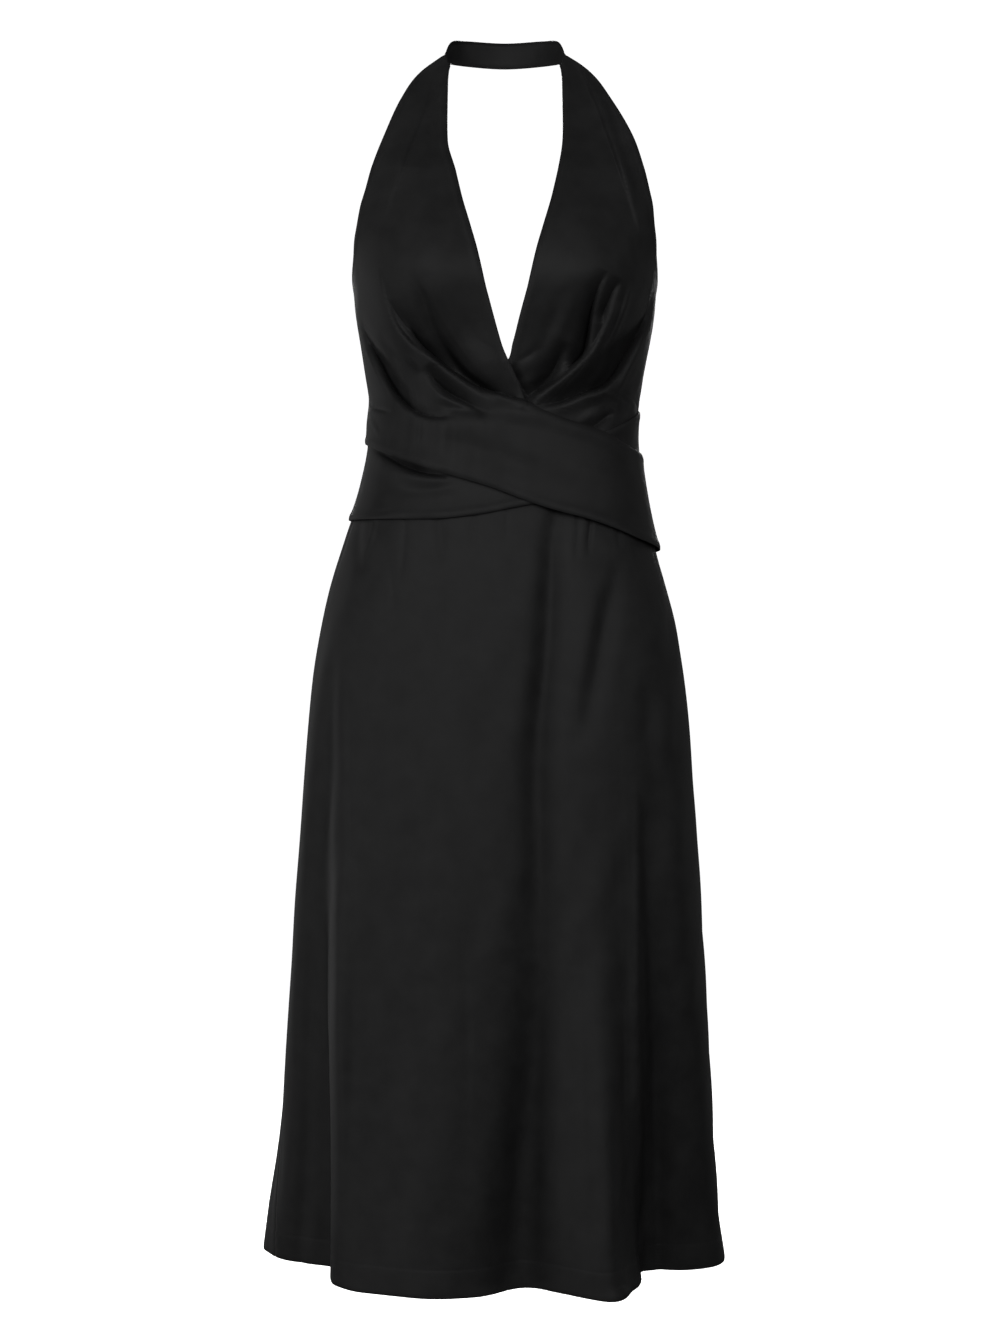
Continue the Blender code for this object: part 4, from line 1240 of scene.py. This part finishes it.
    def build_wrap(self, finish: bpy.types.Material) -> None:
        """Build and dress the wearer's right front with its wrap band.

        Args:
            finish: its material.
        """
        cup, angle, drop = self.panel(-1.0, CUP_ROWS, self.cup_cells, self.guide_rows[1], self.wrap_height,
                                      self.wrap_layers)
        across, down = self.band_cells
        right = np.linspace(angle[-1, -1], SIDE_SEAM, across + 1)[1:]
        keys = WRAP_BAND_ROWS[:, 0]
        band_angle = np.concatenate([angle[-1], right])
        top = np.concatenate([drop[-1], through(keys, WRAP_BAND_ROWS[:, 1], right)])
        bottom = through(keys, WRAP_BAND_ROWS[:, 2], band_angle)
        s = np.linspace(0.0, 1.0, down + 1)[:, None]
        band_drop = top + (bottom - top) * s
        place = (band_angle, band_drop)
        band = self.moved(self.figure.points(*place), self.figure.outward(*place), self.wrap_height,
                          self.wrap_layers)
        free, joined = SewnEdge(Sewn.TURNED, lift=self.lift), angle.shape[1]
        under = self.shoulder_rows + int(np.argmax(angle[:, 0] < ANGLE_SLACK - SIDE_SEAM))
        crossing = self.shoulder_rows + int(np.argmax(drop[:, -1] > CROSSING))
        edges = [(TURNED, cup[:, -1]), (free, cup[crossing:, -1]), (TURNED, cup[:under, 0]),
                 (SEAMED, cup[under:, 0]), (SEAMED, cup[0]), (free, band[0, joined - 1:]), (free, band[-1]),
                 (SEAMED, band[:, 0]), (SEAMED, band[:, -1])]
        cup, band = (dressed(grid, edges, self.seeds[1], self.waves[1]) for grid in (cup, band))
        band[0, :joined] = cup[-1]
        self.wrap.make([cup, band], finish)


@dataclass
class WaistBand:
    """The free-edged band round the front waist, one layer out from the bodice and the skirt."""

    figure: Figure
    cells: tuple[int, int] = (44, 220)
    lift: float = 0.0010
    seed: int = 21
    wave: float = 0.00015
    piece: ClothPiece = field(default_factory=lambda: ClothPiece(
        "waist_band_cloth", "waist_band", (0.36, 0.10), 0.026, "stretched",
        ("front_left_cloth", "skirt_front_cloth")))

    def build(self, finish: bpy.types.Material) -> None:
        """Build and dress the band.

        Args:
            finish: its material.
        """
        down, across = self.cells
        angle = np.linspace(-SIDE_SEAM, SIDE_SEAM, across + 1)
        top, bottom = (through(BAND_ROWS[:, 0], BAND_ROWS[:, k], angle) for k in (1, 2))
        s = np.linspace(0.0, 1.0, down + 1)[:, None]
        drop = top + (bottom - top) * s
        free = self.figure.free_of_seam(self.figure.points(angle, drop))
        grid = self.figure.raised(angle, drop, LAYER * free)
        folds = free * crease_rise(grid, BAND_CREASES)
        grid = grid + fold_way(self.figure.outward(angle, drop)) * folds[..., None]
        edges = panel_edges(grid, TURNED, SewnEdge(Sewn.TURNED, lift=self.lift))
        self.piece.make([dressed(grid, edges, self.seed, self.wave)], finish)


@dataclass
class Backs:
    """The two low bodice backs, either side of the centre back seam."""

    figure: Figure
    cells: tuple[int, int] = (72, 74)
    flat: tuple[float, float] = (0.135, 0.185)
    area: float = 0.0200
    seeds: tuple[int, int] = (31, 32)
    wave: float = 0.00022

    def build(self, finish: bpy.types.Material) -> None:
        """Build and dress both backs.

        Args:
            finish: their material.
        """
        across, down = self.cells
        s = np.linspace(0.0, 1.0, across + 1)
        top = UNDERARM + (BACK_TOP - UNDERARM) * soft_step(s)
        drop = top + (WAIST_SEAM - SEAM_GAP - top) * np.linspace(0.0, 1.0, down + 1)[:, None]
        trim = self.figure.seam_trim(drop)
        angle = SIDE_SEAM + trim + (CENTRE_BACK - SIDE_SEAM - 2.0 * trim) * s
        left = self.figure.points(angle, drop)
        right = self.figure.points(-angle, drop)[:, ::-1]
        for name, grid, seed in zip(("back_left", "back_right"), (left, right), self.seeds):
            piece = ClothPiece(name + "_cloth", name, self.flat, self.area, "stretched")
            piece.make([dressed(grid, panel_edges(grid, TURNED, SEAMED), seed, self.wave)], finish)


@dataclass
class Skirt:
    """The gathered skirt: one front and two backs, with a hem that is turned up and blind-stitched."""

    figure: Figure
    front_cells: int = 216
    back_cells: int = 96
    rows: int = 150
    hem_rows: int = 34
    row_power: float = 1.2
    hem_lead: float = 0.004
    wave: float = 0.00035
    gather_top: float = 0.435
    gather_onset: float = 8.0
    first_share: float = 0.3
    hem_step: float = 0.00014
    step_ease: float = 0.003
    stitch: float = 0.009
    stitch_shares: tuple[float, float] = (0.55, 0.45)
    dimple: float = 0.00018
    dimple_width: float = 0.0014
    roll: float = 0.0006
    roll_width: float = 0.0016

    def pleat_rise(self, angle: Grid, drop: Grid) -> Grid:
        """Sum of the skirt's folds and gathers.

        A fold adds its rise times a bell of the angle from its path over its width. A gather is a
        bell of the angle that is deepest at the band and fades to its end.

        Args:
            angle: degrees round the figure.
            drop: metres below the nape.

        Returns:
            How far the cloth stands out, in metres.
        """
        angle, drop = np.broadcast_arrays(np.asarray(angle, float), np.asarray(drop, float))
        total = np.zeros(angle.shape)
        for pleat in PLEATS:
            s = np.clip((drop - pleat.start) / (HEM - pleat.start), 0.0, 1.0)
            width = pleat.widths[0] + (pleat.widths[1] - pleat.widths[0]) * s
            rise = through(np.array([0.0, 0.5, 1.0]), np.array(pleat.rises, float), s)
            fade = np.clip(self.first_share + (drop - pleat.start) / GATHER_EASE, 0.0, 1.0)
            apart = (angle - parabola(pleat.angles, s) + 180.0) % 360.0 - 180.0
            total += fade * rise * bell(apart / width)
        for centre, end, depth, width in GATHERS:
            s = np.clip((drop - self.gather_top) / (end - self.gather_top), 0.0, 1.0)
            apart = (angle - centre + 180.0) % 360.0 - 180.0
            total -= depth * soft_step(self.gather_onset * s) * (1.0 - soft_step(s)) * bell(apart / width)
        return total * MM

    def points(self, angle: Grid, drop: Grid) -> Grid:
        """Points on the skirt: the figure moved level outward by its folds.

        Args:
            angle: degrees round the figure.
            drop: metres below the nape.

        Returns:
            Points with the shape of the arguments together, and 3.
        """
        run = self.figure.round_step(angle, drop)
        level = unit(np.stack([run[..., 1], -run[..., 0], np.zeros(run.shape[:-1])], -1))
        return self.figure.points(angle, drop) + level * self.pleat_rise(angle, drop)[..., None]

    def even_angles(self, first: float, last: float, count: int) -> Grid:
        """Angles that part the hem between two seams into equal lengths.

        Args:
            first: the angle of one seam.
            last: the angle of the other.
            count: the number of parts.

        Returns:
            The angles, one more than the parts.
        """
        fine = np.linspace(first, last, 1441)
        place = run_length(self.points(fine, HEM), 0)
        return np.interp(np.linspace(0.0, place[-1], count + 1), place, fine)

    def drops(self) -> Grid:
        """The skirt's rows.

        Returns:
            Their drops: a power of even steps down to the turned hem, then close rows.
        """
        turn = HEM - HEM_TURN - self.hem_lead
        upper = WAIST_SEAM + (turn - WAIST_SEAM) * np.linspace(0.0, 1.0, self.rows + 1) ** self.row_power
        return np.concatenate([upper[:-1], np.linspace(turn, HEM, self.hem_rows + 1)])[:, None]

    def hem_relief(self, grid: Grid, drop: Grid) -> Grid:
        """The hem: a step where the turned-up cloth begins, with a dimple at each blind stitch.

        Args:
            grid: points of the cloth.
            drop: their drops.

        Returns:
            Heights: a soft step, less a bell at it whose depth is a cosine along it, less a bell at
            the fold.
        """
        line = drop - (HEM - HEM_TURN)
        step = self.hem_step * soft_step(line / self.step_ease + 0.5)
        mean, swing = self.stitch_shares
        stitches = mean + swing * np.cos(2 * np.pi * run_length(grid, 1) / self.stitch)
        roll = self.roll * bell((HEM - drop) / self.roll_width)
        return step - self.dimple * (stitches * bell(line / self.dimple_width)) - roll

    def build(self, finish: bpy.types.Material) -> None:
        """Build and dress the three panels.

        Args:
            finish: their material.
        """
        drop = self.drops()
        panels = (
            ("skirt_front", -SIDE_SEAM, SIDE_SEAM, self.front_cells, 41, (0.66, 0.73), 0.405,
             ("back_left_cloth", "back_right_cloth")),
            ("skirt_back_left", SIDE_SEAM, CENTRE_BACK, self.back_cells, 42, (0.33, 0.73), 0.170,
             ("back_left_cloth",)),
            ("skirt_back_right", -CENTRE_BACK, -SIDE_SEAM, self.back_cells, 43, (0.33, 0.73), 0.170,
             ("back_right_cloth",)),
        )
        for name, first, last, cells, seed, flat, area, rests_on in panels:
            middle = 0.5 * (first + last)
            shrink = 1.0 - 2.0 * self.figure.seam_trim(drop) / (last - first)
            angle = middle + (self.even_angles(first, last, cells) - middle) * shrink
            grid = self.points(angle, drop)
            if name == "skirt_front":
                grid = grid + fold_way(outward_of(grid)) * crease_rise(grid, SKIRT_CREASES, 160)[..., None]
            edges = [(SEAMED, grid[0]), (SEAMED, grid[:, 0]), (SEAMED, grid[:, -1])]
            grid = dressed(grid, edges, seed, self.wave)
            grid = grid + outward_of(grid) * self.hem_relief(grid, drop)[..., None]
            piece = ClothPiece(name + "_cloth", name, flat, area, "gathered", rests_on)
            piece.make([grid], finish, middle=True)


@dataclass
class Zip:
    """The concealed centre back zip: tape and coil inside the seam, slider and hanging pull tab."""

    figure: Figure
    tape_width: float = 0.024
    tape_gap: float = 0.0007
    tape_drop_in: float = 0.002
    tape_cells: tuple[int, int] = (24, 130)
    end: float = 0.52855
    coil_radius: float = 0.0008
    coil_pitch: float = 0.0013
    coil_apart: float = 0.0011
    coil_clear: float = 0.0004
    coil_flatness: float = 0.6
    coil_steps: int = 9
    wire: float = 0.00026
    wire_sides: int = 5
    piece: ClothPiece = field(default_factory=lambda: ClothPiece(
        "zip_tape_woven", "zip_tape", (0.024, 0.195), 0.0046, "stretched",
        ("back_left_cloth", "back_right_cloth"), 0.0008, "zip_tape"))

    def surface(self, across: Grid, drop: Grid, height: Grid) -> Grid:
        """Points on the tape: off the figure by a height, at a distance from the centre back."""
        half = self.figure.half_width(BACK_TOP)
        return self.figure.raised(CENTRE_BACK + np.degrees(across / half), drop, height)

    def build_tape(self, finish: bpy.types.Material) -> None:
        """Build the tape.

        Args:
            finish: its material.
        """
        reach, (across_cells, down_cells) = 0.5 * self.tape_width, self.tape_cells
        drop = np.linspace(BACK_TOP + self.tape_drop_in, self.end, down_cells + 1)[:, None]
        across = np.linspace(-reach, reach, across_cells + 1)
        self.piece.make([self.surface(across, drop, -(self.tape_gap + self.piece.wall))], finish)

    def build_coil(self, finish: bpy.types.Material) -> None:
        """Build the two rows of the coil, each a thin tube along a helix inside the tape.

        Args:
            finish: their material.
        """
        turns = int((self.end - BACK_TOP - 2.0 * self.tape_drop_in) / self.coil_pitch)
        s = np.linspace(0.0, turns, self.coil_steps * turns + 1)
        drop = BACK_TOP + 2.0 * self.tape_drop_in + s * self.coil_pitch
        inside = -(self.tape_gap + self.piece.wall + self.coil_radius + self.coil_clear)
        points, faces = [], []
        for number, side in enumerate((-1.0, 1.0)):
            turn = 2 * np.pi * s + 0.5 * np.pi * (1.0 + side)
            across = side * self.coil_apart + self.coil_radius * np.cos(turn)
            path = self.surface(across, drop, inside + self.coil_flatness * self.coil_radius * np.sin(turn))
            tube = tube_along(path, self.wire, self.wire_sides)
            points.append(tube.reshape(-1, 3))
            faces.append(grid_faces(*tube.shape[:2], closed=True) + number * tube.shape[0] * tube.shape[1])
        mesh = new_mesh("zip_coil", np.concatenate(points), np.concatenate(faces))
        new_piece("zip_coil", mesh, finish, "dress")

    def build_metal(self, finish: bpy.types.Material) -> None:
        """Give the slider and the pull tab, whose CAD shapes are right, their enamel.

        Args:
            finish: the enamel.
        """
        for node in ("zip_slider", "zip_pull"):
            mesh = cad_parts[node].data
            mesh.materials.clear()
            mesh.materials.append(finish)
            LOG.info("%s: finished", node)


def tube_along(path: Grid, radius: float, sides: int) -> Grid:
    """A round profile carried along a path.

    Two directions across the path are the cross products of its tangent with a fixed direction.

    Args:
        path: points along the tube's middle.
        radius: radius of the profile.
        sides: points round the profile.

    Returns:
        A grid of points, one row for each point of the path, whose columns close on themselves.
    """
    slanted = np.array([0.31, 0.11, 0.94])
    tangent = unit(np.gradient(path, axis=0))
    first = unit(np.cross(tangent, slanted))
    second = np.cross(tangent, first)
    turn = np.linspace(0.0, 2 * np.pi, sides, endpoint=False)[:, None]
    return path[:, None] + radius * (first[:, None] * np.cos(turn) + second[:, None] * np.sin(turn))


# Softboxes: name, place, the point that each faces, width, height, power in watts
LAMPS = (
    ("front_softbox", (-0.6, -3.1, 0.40), (0.0, 0.0, -0.6), 3.0, 1.6, 78.0),
    ("fill_softbox", (1.7, -2.5, 0.0), (0.0, 0.0, -0.6), 1.4, 1.4, 25.0),
    ("top_softbox", (-0.4, -2.0, 1.7), (0.0, 0.0, -0.5), 1.4, 0.8, 16.0),
    ("side_softbox", (-2.4, -1.0, -0.8), (0.0, 0.0, -0.7), 0.9, 2.0, 29.0),
    ("left_strip", (-1.6, 1.4, -0.45), (0.0, 0.0, -0.6), 0.6, 2.0, 9.0),
    ("right_strip", (1.6, 1.4, -0.45), (0.0, 0.0, -0.6), 0.6, 2.0, 3.0),
    ("back_softbox", (-0.5, 2.9, 0.8), (0.0, 0.0, -0.6), 1.4, 1.4, 100.0),
    ("back_fill", (0.7, 2.8, 0.5), (0.0, 0.0, -0.7), 1.2, 1.2, 45.0),
)
WHITE = (1.0, 1.0, 1.0, 1.0)


@dataclass
class Studio:
    """A plain pale floor and backdrop, soft studio light and the photograph's camera.

    The backdrop curves up through `dome` half turns. The floor's glow grows from the last number
    of `glow` to 1 between the distances that are its first two.
    """

    floor_z: float = -1.54
    reach: float = 30.0
    rings: int = 33
    spokes: int = 96
    dome: float = 0.4999
    grey: float = 0.62
    glow: tuple[float, float, float] = (0.2, 1.25, 0.25)
    lens: float = 69.69
    sensor: float = 36.0
    clip: float = 200.0
    ambient: float = 0.08

    def backdrop(self, name: str, profile: Callable[[Grid], tuple[Grid, Grid]],
                 material: bpy.types.Material) -> None:
        """Add a surface of revolution that only the camera sees.

        Args:
            name: its name.
            profile: gives the radius and the height above the floor for shares from 0 to 1.
            material: its finish.
        """
        turn = np.linspace(0.0, 2 * np.pi, self.spokes, endpoint=False)
        radius, rise = profile(np.linspace(0.0, 1.0, self.rings)[:, None])
        grid = np.stack([radius * np.cos(turn), radius * np.sin(turn), self.floor_z + rise + 0.0 * turn], -1)
        mesh = new_mesh(name, grid.reshape(-1, 3), grid_faces(self.rings, self.spokes, closed=True))
        mesh.materials.append(material)
        piece = bpy.data.objects.new(name, mesh)
        piece.visible_diffuse = piece.visible_glossy = piece.visible_shadow = False
        bpy.context.scene.collection.objects.link(piece)

    def floor_material(self) -> bpy.types.Material:
        """Build the floor's finish.

        Returns:
            A pale matt material whose far part glows to the backdrop's white.
        """
        made, (near, far, least) = Finish("pale_floor"), self.glow
        place = made.node("TexCoord", "Object")
        flat = made.node("Mapping", "Vector", {"Vector": place, "Scale": (1.0, 1.0, 0.0)})
        away = made.node("VectorMath", "Value", {"Vector": flat}, operation="LENGTH")
        reach = {"Value": away, "From Min": near, "From Max": far, "To Min": least}
        glow = made.node("MapRange", "Result", reach, interpolation_type="SMOOTHSTEP")
        return made.done({"Base Color": (self.grey, self.grey, self.grey, 1.0), "Roughness": 0.9,
                          "Emission Color": WHITE, "Emission Strength": glow})

    def build(self) -> None:
        """Build the floor, the backdrop, the lights and the camera."""
        white = Finish("white_backdrop").done({"Emission Color": WHITE, "Emission Strength": 1.0})
        self.backdrop("floor", lambda s: (self.reach * s ** 2 + MM, 0.0 * s), self.floor_material())
        self.backdrop("backdrop", lambda s: (self.reach * np.cos(self.dome * np.pi * s),
                                             self.reach * np.sin(self.dome * np.pi * s)), white)
        scene = bpy.context.scene
        scene.world = bpy.data.worlds.new("studio")
        scene.world.use_nodes = True
        sky = scene.world.node_tree.nodes["Background"].inputs
        sky["Color"].default_value, sky["Strength"].default_value = WHITE, self.ambient
        for lamp in LAMPS:
            self.lamp(*lamp)
        camera = bpy.data.cameras.new("photo_camera")
        camera.lens, camera.sensor_width, camera.clip_end = self.lens, self.sensor, self.clip
        eye = bpy.data.objects.new("photo_camera", camera)
        eye.location = CAMERA
        eye.rotation_euler = (np.pi / 2, 0.0, 0.0)
        scene.collection.objects.link(eye)
        scene.camera = eye
        scene.view_settings.view_transform = "Standard"

    @staticmethod
    def lamp(name: str, place: tuple[float, ...], aim: tuple[float, ...], wide: float, high: float,
             power: float) -> None:
        """Add a softbox.

        Args:
            name: its name.
            place: where it stands.
            aim: the point that it faces.
            wide: its width.
            high: its height.
            power: its power in watts.
        """
        light = bpy.data.lights.new(name, "AREA")
        light.shape = "RECTANGLE"
        light.size, light.size_y, light.energy = wide, high, power
        lamp = bpy.data.objects.new(name, light)
        z = unit(np.subtract(place, aim))
        x = unit(np.cross((0.0, 0.0, 1.0), z))
        matrix = np.eye(4)
        matrix[:3, :3], matrix[:3, 3] = np.stack([x, np.cross(z, x), z], -1), place
        lamp.matrix_world = matrix.T
        lamp.visible_camera = False
        bpy.context.scene.collection.objects.link(lamp)


def main() -> None:
    """Build the studio and the dress."""
    logging.basicConfig(level=logging.INFO, format="%(name)s %(message)s")
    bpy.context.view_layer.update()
    Studio().build()
    figure = Figure()
    satin, tape, enamel = Satin().material(), ZipTapeCloth().material(), ZipEnamel().material()
    Backs(figure).build(satin)
    Skirt(figure).build(satin)
    NeckStrap(figure).build(satin)
    bodice, zipper = Bodice(figure), Zip(figure)
    bodice.build_left(satin)
    WaistBand(figure).build(satin)
    bodice.build_wrap(satin)
    zipper.build_tape(tape)
    zipper.build_coil(tape)
    zipper.build_metal(enamel)


if __name__ == "__main__":
    main()
